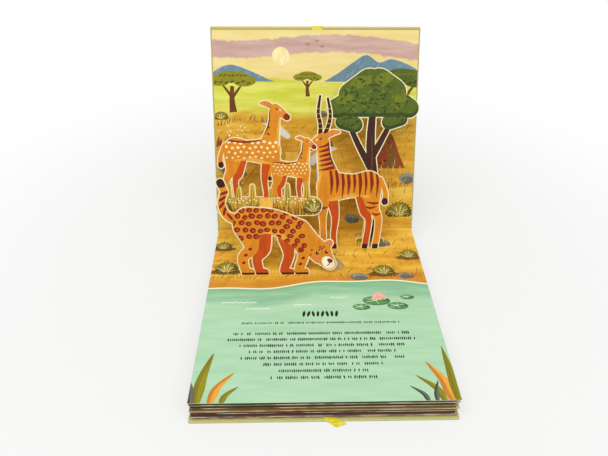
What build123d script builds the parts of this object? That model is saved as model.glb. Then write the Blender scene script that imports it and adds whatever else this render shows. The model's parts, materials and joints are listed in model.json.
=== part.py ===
"""Open pop-up book: a hard case, a block of leaves and die-cut card figures that stand on the open spread."""

from build123d import *
from math import acos, atan2, cos, radians, sin
import os

# Format of the open spread, in millimetres and degrees
page_width = 200.0
page_depth = 195.0
opening_angle = 119.0
page_card = 0.5
hinge_relief = 0.15

# Block of leaves under the open spread
leaf_count = 8
leaf_card = 1.1
leaf_gap = 0.95
top_leaf_gap = 2.0
leaf_stagger = 1.6
leaf_slope = 2.8
fold_depth = 14.0
leaf_step_share = 1.9

# Leaf pasted behind the upper page
backing_card = 0.4
backing_margin = 1.0

# Hard case
board = 2.0
board_corner = 1.2
board_edge = 0.5
side_overhang = 1.6
front_overhang = 4.5
upper_lip = 3.4
board_setback = 4.0
upper_board_start = 7.0
spine_gap = 1.5
spine_drop = 0.3
wrap_paper = 0.4
wrap_lap = 4.0

# Satin ribbon ends
ribbon_width = 10.0
ribbon_card = 0.35
front_ribbon_width = 8.1
front_ribbon_place = -0.7
front_ribbon_slant = 1.2
front_ribbon_run = 0.95
front_ribbon_skew = 2.7
front_ribbon_reach = 7.5
top_ribbon_place = 1.3
top_ribbon_tail = 30.0

# Card figures
figure_card = 0.5
die_border = 1.4
glue_clearance = 0.15
foot_tab_depth = 7.0
foot_tab_width = 9.0
strut_width = 13.0
window_clearance = 0.4
muzzle_shift = 9.0

# Standing depth in front of the gutter, size, and place across the spread of each figure
buck_depth = 31.0
buck_height = 150.0
buck_place = 30.0
tree_depth = 21.0
tree_height = 171.0
tree_place = 54.0
herd_depth = 33.0
herd_lift = 44.0
doe_height = 128.0
doe_place = -60.0
fawn_height = 86.0
fawn_place = -24.0
mound_half = 42.0
mound_place = -46.0
cat_depth = 66.0
cat_length = 104.0
cat_place = -33.0

# Chains of round joints as shares of a figure's size: across, up, radius
antelope_head_shares = (
    ((-0.115, 0.455, 0.066), (-0.150, 0.585, 0.041), (-0.158, 0.690, 0.034)),
    ((-0.165, 0.712, 0.036), (-0.205, 0.688, 0.027), (-0.250, 0.655, 0.019)),
    ((-0.145, 0.728, 0.013), (-0.098, 0.752, 0.015), (-0.060, 0.755, 0.005)),
)
antelope_horn_shares = (
    ((-0.150, 0.740, 0.011), (-0.126, 0.800, 0.009), (-0.116, 0.870, 0.007), (-0.132, 0.960, 0.004)),
    ((-0.178, 0.742, 0.011), (-0.178, 0.805, 0.009), (-0.192, 0.875, 0.007), (-0.180, 0.975, 0.004)),
)
antelope_body_shares = (
    ((-0.105, 0.410, 0.092), (0.030, 0.415, 0.070), (0.135, 0.425, 0.082)),
    ((-0.150, 0.375, 0.042), (-0.160, 0.225, 0.020), (-0.158, 0.150, 0.015), (-0.152, 0.008, 0.016)),
    ((-0.105, 0.350, 0.040), (-0.078, 0.215, 0.020), (-0.088, 0.100, 0.014), (-0.084, 0.008, 0.016)),
    ((0.150, 0.395, 0.066), (0.166, 0.275, 0.036), (0.206, 0.190, 0.018), (0.186, 0.008, 0.016)),
    ((0.105, 0.360, 0.050), (0.115, 0.250, 0.030), (0.142, 0.185, 0.017), (0.118, 0.008, 0.016)),
    ((0.210, 0.455, 0.014), (0.245, 0.375, 0.011), (0.243, 0.310, 0.018)),
)
cat_body_shares = (
    ((-0.300, 0.480, 0.125), (-0.080, 0.480, 0.105), (0.120, 0.385, 0.118)),
    ((0.130, 0.330, 0.070), (0.190, 0.190, 0.045), (0.145, 0.035, 0.036), (0.205, 0.022, 0.028)),
    ((0.030, 0.330, 0.065), (0.060, 0.180, 0.042), (0.015, 0.035, 0.034), (0.075, 0.022, 0.027)),
    ((-0.320, 0.450, 0.110), (-0.270, 0.250, 0.055), (-0.350, 0.160, 0.042), (-0.330, 0.030, 0.035)),
    ((-0.330, 0.025, 0.035), (-0.280, 0.020, 0.028)),
    ((-0.200, 0.430, 0.100), (-0.160, 0.240, 0.050), (-0.225, 0.150, 0.038), (-0.205, 0.030, 0.033)),
    ((-0.205, 0.025, 0.033), (-0.155, 0.020, 0.028)),
    ((-0.395, 0.500, 0.042), (-0.480, 0.540, 0.032), (-0.525, 0.640, 0.027), (-0.495, 0.745, 0.026)),
    ((-0.495, 0.745, 0.026), (-0.530, 0.825, 0.030)),
)
cat_head_shares = (
    ((0.140, 0.390, 0.110), (0.240, 0.290, 0.092), (0.345, 0.190, 0.090)),
    ((0.375, 0.150, 0.066), (0.425, 0.095, 0.048)),
    ((0.268, 0.262, 0.034), (0.266, 0.298, 0.028)),
    ((0.395, 0.262, 0.034), (0.418, 0.285, 0.026)),
)
tree_trunk_shares = (
    ((0.000, 0.000, 0.042), (0.014, 0.300, 0.028), (-0.008, 0.560, 0.022), (0.000, 0.740, 0.016)),
    ((-0.010, 0.440, 0.017), (-0.110, 0.630, 0.012), (-0.140, 0.760, 0.009)),
    ((0.004, 0.500, 0.018), (0.080, 0.640, 0.012), (0.130, 0.760, 0.009)),
    ((-0.064, 0.004, 0.013), (0.066, 0.004, 0.013)),
)
tree_crown_shares = (
    ((-0.205, 0.765, 0.050), (-0.120, 0.800, 0.062)),
    ((-0.120, 0.835, 0.070), (-0.020, 0.895, 0.080)),
    ((0.030, 0.900, 0.076), (0.110, 0.850, 0.072)),
    ((0.130, 0.800, 0.064), (0.205, 0.765, 0.050)),
    ((-0.130, 0.775, 0.055), (0.130, 0.775, 0.055)),
    ((-0.170, 0.690, 0.036), (-0.100, 0.675, 0.042)),
    ((0.095, 0.690, 0.040), (0.160, 0.705, 0.034)),
)
# Grass blades along a mound, as shares of its half width: across and height
mound_blade_shares = ((-0.92, 0.30), (-0.70, 0.20), (-0.38, 0.26), (0.05, 0.18), (0.42, 0.28), (0.86, 0.34))
mound_rise_share = 0.20
mound_blade_radius_share = 0.035
# Places of the struts behind a figure, as shares of its size: across and up
antelope_strut_shares = ((0.000, 0.40),)
tree_strut_shares = ((0.000, 0.80),)
cat_strut_shares = ((-0.150, 0.50),)
# Places across of the glued feet, as shares of a figure's size
antelope_foot_shares = (-0.113, 0.135)
cat_foot_shares = (0.135, -0.255)

# Heights and places worked out from the sizes above
leaf_pitch = leaf_card + leaf_gap
block_height = leaf_count * leaf_pitch + top_leaf_gap
gutter_z = board + block_height + page_card
lower_board_depth = page_depth + front_overhang - board_setback
gutter_y = lower_board_depth / 2 + board_setback
board_width = page_width + 2 * side_overhang
lean = radians(opening_angle)
page_up = Vector(0, -cos(lean), sin(lean))
page_out = Vector(0, -sin(lean), -cos(lean))
lean_run = page_up.Y / page_up.Z


def leaning_plane(depth):
    """Plane parallel to the upper page that meets the lower page this far in front of the gutter."""
    return Plane(origin=(0, gutter_y - depth, gutter_z), x_dir=(1, 0, 0), z_dir=page_out)


def limb(near, far):
    """Outline of two round joints and the skin stretched between them."""
    (x1, y1, r1), (x2, y2, r2) = near, far
    run = ((x2 - x1) ** 2 + (y2 - y1) ** 2) ** 0.5
    course = atan2(y2 - y1, x2 - x1)
    spread = acos((r1 - r2) / run)

    def rim(x, y, r, angle):
        return (x + r * cos(angle), y + r * sin(angle))

    left_near = rim(x1, y1, r1, course + spread)
    left_far = rim(x2, y2, r2, course + spread)
    right_near = rim(x1, y1, r1, course - spread)
    right_far = rim(x2, y2, r2, course - spread)
    heel = rim(x1, y1, r1, course + radians(180))
    tip = rim(x2, y2, r2, course)
    edges = [
        Line(left_near, left_far),
        ThreePointArc(left_far, tip, right_far),
        Line(right_far, right_near),
        ThreePointArc(right_near, heel, left_near),
    ]
    return make_face(edges)


def figure_outline(chain_shares, size, place, lift, grow, facing=1):
    """Flat outline of a figure: its chains of joints at full size, grown by a border and joined."""
    faces = []
    for chain in chain_shares:
        joints = [(place + facing * x * size, lift + y * size, r * size + grow) for x, y, r in chain]
        faces += [limb(near, far) for near, far in zip(joints, joints[1:])]
    return Sketch() + faces


def standing_part(outline):
    """The part of an outline that lies above the foot line."""
    reach = page_depth + page_width
    return outline & Pos(0, reach / 2) * Rectangle(2 * reach, reach)


def strut(depth, reach, across, up):
    """Card strut, level with the lower page, from a figure back to the card that it is glued to."""
    bottom = up * page_up.Z
    front = -depth + bottom * lean_run - figure_card / 2
    back = -depth + bottom * lean_run + reach - glue_clearance
    place = Pos(across, gutter_y + (front + back) / 2, gutter_z + bottom + figure_card / 2)
    return place * Box(strut_width, back - front, figure_card)


def foot_tab(depth, across, width):
    """Glued tab on the lower page behind a figure's foot line."""
    front = -depth - figure_card / 2 * lean_run
    centre = front + foot_tab_depth / 2
    return Pos(across, gutter_y + centre, gutter_z + figure_card / 2) * Box(width, foot_tab_depth, figure_card)


def card_figure(outline, depth):
    """Card of a figure: its outline on the leaning plane, with the plane's outer side to the front."""
    return extrude(leaning_plane(depth) * outline, amount=figure_card, dir=page_out)


def rounded_board(width, depth, thickness):
    """Cover board with round corners and broken edges, centred on its middle."""
    slab = extrude(RectangleRounded(width, depth, board_corner), amount=thickness)
    slab = chamfer(slab.edges().group_by(Axis.Z)[0] + slab.edges().group_by(Axis.Z)[-1], board_edge)
    return Pos(0, 0, -thickness / 2) * slab


def make_lower_cover():
    return Pos(0, 0, board / 2) * rounded_board(board_width, lower_board_depth, board)


def make_spine():
    height = gutter_z - spine_drop
    return Pos(0, gutter_y + spine_gap + board / 2, height / 2) * Box(board_width, board, height)


def make_lower_joint():
    """Wrap paper across the groove between the lower board and the spine."""
    front = gutter_y - board_setback
    back = gutter_y + spine_gap
    return Pos(0, (front + back) / 2, wrap_paper / 2) * Box(board_width, back - front, wrap_paper)


def upper_slab(width, start, end, back, thickness, across=0):
    """Flat slab in the upper half: its run up the page and its depth behind the page's printed face."""
    place = Pos(across, (start + end) / 2, -back - thickness / 2)
    return leaning_plane(0) * (place * Box(width, end - start, thickness))


upper_board_back = page_card + backing_card
upper_board_end = page_depth + upper_lip
backing_end = page_depth - backing_margin


def make_upper_cover():
    run = upper_board_end - upper_board_start
    slab = rounded_board(board_width, run, board)
    place = Pos(0, upper_board_start + run / 2, -upper_board_back - board / 2)
    return leaning_plane(0) * (place * slab)


def make_upper_joint():
    """Wrap paper from the spine's outer face round to the upper board's outer face."""
    spine_back = Vector(0, gutter_y + spine_gap + board, gutter_z - spine_drop)
    board_back = leaning_plane(0).origin - page_out * (upper_board_back + board)
    rise = Vector(0, 0, 1)
    aft = Vector(0, 1, 0)
    inner = [spine_back - rise * wrap_lap, spine_back]
    inner += [board_back + page_up * upper_board_start, board_back + page_up * (upper_board_start + wrap_lap)]
    outer = [point + aft * wrap_paper for point in inner[:2]]
    outer += [point - page_out * wrap_paper for point in inner[2:]]
    edges = [Line(inner[0], outer[0]), Line(inner[3], outer[3])]
    for low, turn, crease, high in (inner, outer):
        edges += [Line(low, turn), Spline(turn, crease, tangents=(rise, page_up)), Line(crease, high)]
    return extrude(make_face(edges), amount=board_width / 2, dir=(1, 0, 0), both=True)


def make_page_block():
    """Block of leaves that fan apart from a solid fold, with uneven edges and the lowest leaf furthest out."""
    fold = gutter_y - fold_depth
    leaves = []
    for index in range(leaf_count):
        step = leaf_stagger * (1 - sin(index * leaf_step_share)) / 2
        reach = leaf_slope * (1 - index / (leaf_count - 1))
        front = gutter_y - page_depth + step - reach
        low = board + index * leaf_pitch
        high = low + leaf_pitch
        fore_low = low + leaf_gap / 2
        fore_high = fore_low + leaf_card
        if index == leaf_count - 1:
            high = gutter_z - page_card
        points = [(gutter_y, low), (fold, low), (front, fore_low), (front, fore_high), (fold, high), (gutter_y, high)]
        leaf = make_face(Plane.YZ * Polyline(*points, close=True))
        leaves.append(extrude(leaf, amount=page_width / 2 - step, dir=(1, 0, 0), both=True))
    return leaves[0] + leaves[1:]


def make_lower_page():
    """Lower page of the spread, with the hole that the drinking cat's muzzle was cut from."""
    run = page_depth - hinge_relief
    page = Pos(0, gutter_y - hinge_relief - run / 2, gutter_z - page_card / 2) * Box(page_width, run, page_card)
    muzzle = figure_outline(cat_head_shares[1:2], cat_length, cat_place, 0, window_clearance)
    shift = Pos(muzzle_shift, gutter_y - cat_depth, gutter_z)
    return page - shift * extrude(muzzle, amount=page_card + page_card, both=True)


def make_upper_page():
    """Upper page of the spread, with the windows that the heads of the figures were cut from."""
    page = upper_slab(page_width, hinge_relief, page_depth, 0, page_card)
    heads = [
        figure_outline(antelope_head_shares, buck_height, buck_place, -buck_depth, window_clearance),
        figure_outline(antelope_head_shares, doe_height, doe_place, herd_lift - herd_depth, window_clearance, -1),
        figure_outline(antelope_head_shares, fawn_height, fawn_place, herd_lift - herd_depth, window_clearance, -1),
    ]
    for head in heads:
        page -= extrude(leaning_plane(0) * head, amount=page_card + page_card, dir=page_out, both=True)
    return page


def make_backing_leaf():
    return upper_slab(page_width, backing_margin, backing_end, page_card, backing_card)


def make_buck():
    """Tall antelope that stands on the lower page, tied to the upper page by one strut."""
    shares = antelope_body_shares + antelope_head_shares + antelope_horn_shares
    outline = standing_part(figure_outline(shares, buck_height, buck_place, 0, die_border))
    figure = card_figure(outline, buck_depth)
    for across, up in antelope_strut_shares:
        figure += strut(buck_depth, buck_depth, buck_place + across * buck_height, up * buck_height)
    for share in antelope_foot_shares:
        figure += foot_tab(buck_depth, buck_place + share * buck_height, foot_tab_width)
    return figure


def make_tree():
    """Flat-topped tree that stands on the lower page close to the gutter."""
    shares = tree_trunk_shares + tree_crown_shares
    outline = standing_part(figure_outline(shares, tree_height, tree_place, 0, die_border))
    figure = card_figure(outline, tree_depth)
    for across, up in tree_strut_shares:
        figure += strut(tree_depth, tree_depth, tree_place + across * tree_height, up * tree_height)
    return figure + foot_tab(tree_depth, tree_place, foot_tab_width)


def make_herd():
    """Doe and fawn on one grassy mound, held off the upper page by struts."""
    outline = figure_outline(mound_chains(), mound_half, mound_place, herd_lift, die_border)
    animal = antelope_body_shares + antelope_head_shares
    outline += figure_outline(animal, doe_height, doe_place, herd_lift, die_border, -1)
    outline += figure_outline(animal, fawn_height, fawn_place, herd_lift, die_border, -1)
    figure = card_figure(outline, herd_depth)
    for place, size in ((doe_place, doe_height), (fawn_place, fawn_height)):
        for across, up in antelope_strut_shares:
            figure += strut(herd_depth, herd_depth, place - across * size, herd_lift + up * size)
    return figure


def mound_chains():
    """Chains of a mound and of the blades that stand on it, as shares of its half width."""
    chains = [((-1, 0, mound_rise_share), (1, 0, mound_rise_share))]
    for across, height in mound_blade_shares:
        tip = mound_rise_share + height
        chains.append(((across, 0, mound_blade_radius_share * 2), (across, tip, mound_blade_radius_share)))
    return tuple(chains)


def make_cat():
    """Spotted cat that bends to drink in front of the other figures."""
    outline = standing_part(figure_outline(cat_body_shares + cat_head_shares, cat_length, cat_place, 0, die_border))
    figure = card_figure(outline, cat_depth)
    reach = cat_depth - herd_depth - figure_card / page_up.Z
    for across, up in cat_strut_shares:
        figure += strut(cat_depth, reach, cat_place + across * cat_length, up * cat_length)
    for share in cat_foot_shares:
        figure += foot_tab(cat_depth, cat_place + share * cat_length, foot_tab_width)
    return figure


def make_front_ribbon():
    """Ribbon end that comes out under the block, turns aside over the lower board's edge and meets the table."""
    block_front = gutter_y - page_depth
    edge = -lower_board_depth / 2
    over = edge - ribbon_card
    drop = board + ribbon_card
    left = front_ribbon_place
    right = left + front_ribbon_width
    left_turn = edge + front_ribbon_run
    right_turn = left_turn + front_ribbon_skew
    left_edge = left + front_ribbon_run * front_ribbon_slant
    right_edge = right + (front_ribbon_run + front_ribbon_skew) * front_ribbon_slant
    foot = drop * front_ribbon_slant
    reach = front_ribbon_reach * front_ribbon_slant
    left_end = left_turn + board - front_ribbon_reach
    right_end = right_turn + board - front_ribbon_reach

    lying = [(left, block_front), (left, left_turn), (left_edge, over)]
    lying += [(right_edge, over), (right, right_turn), (right, block_front)]
    fall = [(left_edge, edge, drop), (right_edge, edge, drop)]
    fall += [(right_edge + foot, edge, 0), (left_edge + foot, edge, 0)]
    floor = [(left_edge + foot, edge), (right_edge + foot, edge), (right + reach, right_end), (left + reach, left_end)]
    top = Pos(0, 0, board) * extrude(make_face(Polyline(*lying, close=True)), amount=ribbon_card)
    front = extrude(make_face(Polyline(*fall, close=True)), amount=ribbon_card, dir=(0, -1, 0))
    return top + front + extrude(make_face(Polyline(*floor, close=True)), amount=ribbon_card)


def make_top_ribbon():
    """Ribbon end that comes over the top edge of the upper board and lies on its back."""
    front = upper_board_back - ribbon_card
    inside = upper_slab(ribbon_width, backing_end, upper_board_end, front, ribbon_card, top_ribbon_place)
    top = upper_board_end + ribbon_card
    thickness = board + ribbon_card + ribbon_card
    over = upper_slab(ribbon_width, upper_board_end, top, front, thickness, top_ribbon_place)
    tail_start = upper_board_end - top_ribbon_tail
    back = upper_board_back + board
    tail = upper_slab(ribbon_width, tail_start, upper_board_end, back, ribbon_card, top_ribbon_place)
    return inside + over + tail


nodes = {
    "lower_cover": make_lower_cover,
    "spine": make_spine,
    "upper_cover": make_upper_cover,
    "lower_joint": make_lower_joint,
    "upper_joint": make_upper_joint,
    "page_block": make_page_block,
    "lower_page": make_lower_page,
    "upper_page": make_upper_page,
    "backing_leaf": make_backing_leaf,
    "tree_popup": make_tree,
    "antelope_popup": make_buck,
    "herd_popup": make_herd,
    "cat_popup": make_cat,
    "front_ribbon": make_front_ribbon,
    "top_ribbon": make_top_ribbon,
}

os.makedirs("parts", exist_ok=True)
for name, make in nodes.items():
    solid = make()
    solid.label = name
    export_step(solid, f"parts/{name}.step")
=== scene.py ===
"""Printed finish of an open pop-up book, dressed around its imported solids."""

import json
import logging
import random
from dataclasses import dataclass, field, replace
from enum import Enum
from math import acos, atan2, cos, hypot, pi, radians, sin, tau
from typing import Any, Iterable, Optional, Sequence, Union

import bmesh
import bpy
from bpy.types import Material, Mesh, Node, NodeSocket, Object
from mathutils import Matrix, Vector, geometry

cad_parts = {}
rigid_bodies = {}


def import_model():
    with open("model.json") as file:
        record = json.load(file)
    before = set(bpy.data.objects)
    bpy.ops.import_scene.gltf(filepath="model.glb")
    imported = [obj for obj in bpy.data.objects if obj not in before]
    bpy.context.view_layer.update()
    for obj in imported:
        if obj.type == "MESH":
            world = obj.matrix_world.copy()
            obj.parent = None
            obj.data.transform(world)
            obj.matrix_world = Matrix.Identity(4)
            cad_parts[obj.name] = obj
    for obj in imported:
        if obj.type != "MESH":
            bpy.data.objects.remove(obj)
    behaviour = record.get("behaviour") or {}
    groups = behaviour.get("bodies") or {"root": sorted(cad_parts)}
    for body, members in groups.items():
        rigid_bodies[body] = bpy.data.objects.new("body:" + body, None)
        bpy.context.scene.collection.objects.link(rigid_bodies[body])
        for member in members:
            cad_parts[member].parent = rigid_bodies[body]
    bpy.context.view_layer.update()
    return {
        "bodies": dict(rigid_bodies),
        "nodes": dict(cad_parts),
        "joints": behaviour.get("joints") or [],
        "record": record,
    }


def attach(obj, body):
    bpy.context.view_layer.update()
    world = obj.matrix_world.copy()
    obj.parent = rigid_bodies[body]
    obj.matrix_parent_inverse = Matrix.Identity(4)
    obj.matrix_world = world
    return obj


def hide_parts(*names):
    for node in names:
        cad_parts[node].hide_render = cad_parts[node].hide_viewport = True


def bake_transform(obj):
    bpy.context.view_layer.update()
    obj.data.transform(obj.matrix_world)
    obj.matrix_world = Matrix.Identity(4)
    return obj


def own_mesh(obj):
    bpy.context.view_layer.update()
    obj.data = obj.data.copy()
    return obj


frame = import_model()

LOG = logging.getLogger("pop_up_book")

MM = 0.001
ACROSS = Vector((1, 0, 0))
ORIGIN = Vector((0, 0, 0))
LOWER_BODY = "lower_half"
UPPER_BODY = "upper_half"
HINGE = "cover_hinge"

# Names of what the finishes read from a mesh.
INK_ATTRIBUTE = "ink"
LEAF_ATTRIBUTE = "leaf"
RIM_ATTRIBUTE = "rim"
WEAVE_MAP = "weave"

# Steps of a half circle, and how overlapping outlines are split.
ARC_STEPS = 10
INSIDE_ONLY = 1
NEARNESS = 1e-5
CUT_PART = "cut"

# Millimetres that strokes keep from edges and holes and from the gutter, and the spread of wet ink.
STROKE_MARGIN = 6.0
GUTTER_MARGIN = 10.0
INK_SPREAD = 0.45

Point = tuple[float, float]
Row = tuple[Point, ...]
Loop = list[Point]
Trio = tuple[float, float, float]
Patch = tuple[float, float, float, float]
Joint = Trio
Chain = tuple[Joint, ...]
Limbs = tuple[Chain, ...]
Tint = tuple[int, int, int]
Colour = tuple[float, float, float, float]
Settings = dict[str, Any]
Sockets = dict[Union[int, str], Any]


def linear_colour(srgb: Sequence[float]) -> Colour:
    """Linear values, with an alpha of 1, of an sRGB colour from 0 to 255."""
    shares = [value / 255 for value in srgb]
    return (*(s / 12.92 if s <= 0.04045 else ((s + 0.055) / 1.055) ** 2.4 for s in shares), 1.0)


class Ink(Enum):
    """Printing colours, as sRGB values."""

    BLANK = (240, 238, 230)
    CREAM = (248, 234, 184)
    PALE = (252, 244, 214)
    AMBER = (226, 140, 30)
    HONEY = (236, 170, 62)
    RUST = (202, 78, 18)
    CHESTNUT = (140, 38, 22)
    UMBER = (60, 24, 22)
    BARK = (110, 62, 30)
    DARK_BARK = (64, 36, 26)
    LEAF = (86, 104, 34)
    DEEP_LEAF = (58, 74, 30)
    LIGHT_LEAF = (114, 124, 34)
    OLIVE = (146, 140, 26)
    STRAW = (228, 184, 78)
    GOLD = (217, 169, 58)
    OCHRE = (178, 126, 40)
    EARTH = (128, 84, 34)
    HEDGE = (150, 70, 34)
    STONE = (146, 140, 120)
    STONE_SHADE = (108, 106, 96)
    HILL_LIGHT = (136, 164, 178)
    HILL = (112, 142, 160)
    HILL_SHADE = (88, 120, 148)
    SUN = (252, 236, 172)
    FOAM = (236, 248, 232)
    PAD = (92, 146, 84)
    PAD_SHADE = (66, 116, 70)
    BLOSSOM = (242, 176, 168)
    TEXT = (34, 40, 36)
    ROSE = (226, 128, 104)
    REED_ORANGE = (206, 128, 44)
    REED_OLIVE = (132, 122, 28)
    REED_DEEP = (92, 80, 24)
    REED_DARK = (66, 68, 60)

    def linear(self) -> Colour:
        """This colour as linear values with full alpha."""
        return linear_colour(self.value)


def plain_tint(colour: Any) -> Any:
    """Linear values of an ink or of sRGB values; a wire stays as it is."""
    srgb = colour.value if isinstance(colour, Ink) else colour
    return linear_colour(srgb) if isinstance(srgb, tuple) else colour


class NodeBench:
    """Makes the nodes of one tree, for a finish or for geometry."""

    def __init__(self, tree: bpy.types.NodeTree) -> None:
        """Keeps the tree that the nodes go into."""
        self.tree = tree

    def node(self, kind: str, settings: Settings, sockets: Sockets) -> Node:
        """Adds a node, sets it up and fills or links its sockets.

        Args:
            kind: The node's type.
            settings: Its own settings; a ramp's stops go under "stops".
            sockets: Values or wires by socket name or number.

        Returns:
            The new node.
        """
        made = self.tree.nodes.new(kind)
        for key, value in settings.items():
            if key == "stops":
                self._set_stops(made, value)
            else:
                setattr(made, key, value)
        for key, value in sockets.items():
            if isinstance(value, Wire):
                self.tree.links.new(value.socket, made.inputs[key])
            else:
                made.inputs[key].default_value = value
        return made

    @staticmethod
    def _set_stops(ramp: Node, stops: Sequence[tuple[float, Colour]]) -> None:
        """Gives a colour ramp its stops, with hard steps between them.

        Args:
            ramp: The ramp's node.
            stops: Place and colour of each stop.
        """
        ramp.color_ramp.interpolation = "CONSTANT"
        elements = ramp.color_ramp.elements
        while len(elements) < len(stops):
            elements.new(1.0)
        for element, (place, colour) in zip(elements, stops):
            element.position = place
            element.color = colour

    def take(self, kind: str, settings: Settings, sockets: Sockets, output: Union[int, str] = 0) -> "Wire":
        """One output of a new node."""
        return Wire(self, self.node(kind, settings, sockets).outputs[output])

    def vector(self, x: Any, y: Any, z: Any = 0.0) -> "Wire":
        """Joins three values into a vector."""
        return self.take("ShaderNodeCombineXYZ", {}, {0: x, 1: y, 2: z})

    def parts(self, vector: "Wire") -> list["Wire"]:
        """The three values of a vector."""
        return [Wire(self, output) for output in self.node("ShaderNodeSeparateXYZ", {}, {0: vector}).outputs]

    def vectors(self, operation: str, first: Any, second: Any, output: Union[int, str] = 0) -> "Wire":
        """Vector maths on two vectors."""
        return self.take("ShaderNodeVectorMath", {"operation": operation}, {0: first, 1: second}, output)

    def mix(self, factor: Any, low: Any, high: Any) -> "Wire":
        """Mixes two colours, each a wire, an ink or sRGB values."""
        sockets = {0: factor, 6: plain_tint(low), 7: plain_tint(high)}
        return self.take("ShaderNodeMix", {"data_type": "RGBA"}, sockets, 2)

    def noise(self, place: Any, scale: float, detail: float = 3.0, rough: float = 0.55) -> "Wire":
        """Soft noise from 0 to 1 at a place."""
        sockets = {"Vector": place, "Scale": scale, "Detail": detail, "Roughness": rough}
        return self.take("ShaderNodeTexNoise", {}, sockets)


class Wire:
    """A socket that takes part in Python expressions."""

    def __init__(self, bench: NodeBench, socket: NodeSocket) -> None:
        """Keeps the socket and the bench that its Math nodes go to."""
        self.bench = bench
        self.socket = socket

    def _math(self, operation: str, first: Any, second: Any = 0.0) -> "Wire":
        """Adds one Math node on two values."""
        return self.bench.take("ShaderNodeMath", {"operation": operation}, {0: first, 1: second})

    def __add__(self, other: Any) -> "Wire":
        """This value plus another."""
        return self._math("ADD", self, other)

    __radd__ = __add__

    def __sub__(self, other: Any) -> "Wire":
        """This value less another."""
        return self._math("SUBTRACT", self, other)

    def __rsub__(self, other: Any) -> "Wire":
        """Another value less this one."""
        return self._math("SUBTRACT", other, self)

    def __mul__(self, other: Any) -> "Wire":
        """This value times another."""
        return self._math("MULTIPLY", self, other)

    __rmul__ = __mul__

    def __truediv__(self, other: Any) -> "Wire":
        """This value over another."""
        return self._math("DIVIDE", self, other)

    def __neg__(self) -> "Wire":
        """This value turned about zero."""
        return self._math("MULTIPLY", self, -1.0)

    def sine(self) -> "Wire":
        """Sine of this value in radians."""
        return self._math("SINE", self)

    def size(self) -> "Wire":
        """This value without its sign."""
        return self._math("ABSOLUTE", self)

    def most(self, other: Any) -> "Wire":
        """The larger of two values."""
        return self._math("MAXIMUM", self, other)

    def step(self, low: Any, high: Any) -> "Wire":
        """Smooth step from 0 at low to 1 at high."""
        sockets = {0: self, 1: low, 2: high, 3: 0.0, 4: 1.0}
        return self.bench.take("ShaderNodeMapRange", {"interpolation_type": "SMOOTHSTEP"}, sockets)


class FinishBench(NodeBench):
    """Builds one material's nodes."""

    def __init__(self, name: str) -> None:
        """Starts an empty material that reads Object coordinates.

        Args:
            name: The material's name.
        """
        self.material = bpy.data.materials.new(name)
        self.material.use_nodes = True
        super().__init__(self.material.node_tree)
        self.tree.nodes.clear()
        self.place = self.take("ShaderNodeTexCoord", {}, {}, "Object")

    def attribute(self, name: str, output: str) -> Wire:
        """A value or colour that the mesh holds."""
        return self.take("ShaderNodeAttribute", {"attribute_name": name}, {}, output)

    def along(self, direction: Vector, origin: Vector = ORIGIN) -> Wire:
        """Millimetres from an origin along a direction, over the surface."""
        away = self.vectors("SUBTRACT", self.place, origin)
        return self.vectors("DOT_PRODUCT", away, direction / MM, "Value")

    def shade(self, colour: Any, factor: Any) -> Wire:
        """Darkens or lightens a colour.

        Args:
            colour: A wire, an ink or sRGB values.
            factor: Its share of light, a wire or a number about 1.

        Returns:
            The new colour.
        """
        tint = plain_tint(colour)
        tone = tint[:3] if isinstance(tint, tuple) else tint
        return self.vectors("MULTIPLY", tone, self.vector(factor, factor, factor))

    def streaks(self, across: Wire, up: Wire, scale: Point, detail: float, rough: float = 0.55) -> Wire:
        """Noise that is drawn out by a scale of its own each way."""
        return self.noise(self.vector(across * scale[0], up * scale[1]), 1.0, detail, rough)

    def fibre(self) -> Wire:
        """Fine felted relief of paper and card."""
        return self.noise(self.place, 1900, 4.0, 0.62)

    def surface(self, colour: Any, roughness: Any, bump: Any, depth: float, **extra: Any) -> Material:
        """Ends the material in a shader with fine relief.

        Args:
            colour: Base colour, linked or plain.
            roughness: Roughness, linked or plain.
            bump: Height of the relief from 0 to 1.
            depth: Depth of the relief in millimetres.
            extra: Other sockets of the shader, set to plain values, with _ for a blank.

        Returns:
            The finished material.
        """
        relief = self.take("ShaderNodeBump", {}, {"Strength": 1.0, "Distance": depth * MM, "Height": bump})
        plain = {key.replace("_", " "): value for key, value in extra.items()}
        sockets = {"Base Color": colour, "Roughness": roughness, "Normal": relief, **plain}
        return self.close(self.take("ShaderNodeBsdfPrincipled", {}, sockets))

    def close(self, shader: Wire) -> Material:
        """Ends the material in a shader."""
        self.node("ShaderNodeOutputMaterial", {}, {"Surface": shader})
        return self.material


@dataclass(frozen=True)
class PrintPlane:
    """A flat side that carries print: an origin, its upward run and its outer side."""

    origin: Vector
    up: Vector
    out: Vector

    def matrix(self) -> Matrix:
        """The matrix from flat metres to the book's frame."""
        return Matrix([*zip(ACROSS, self.up, self.out, self.origin), (0, 0, 0, 1)])

    def at(self, across: float, up: float, out: float) -> Vector:
        """A place in the book's frame from millimetres on this plane."""
        return self.origin + (ACROSS * across + self.up * up + self.out * out) * MM


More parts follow.
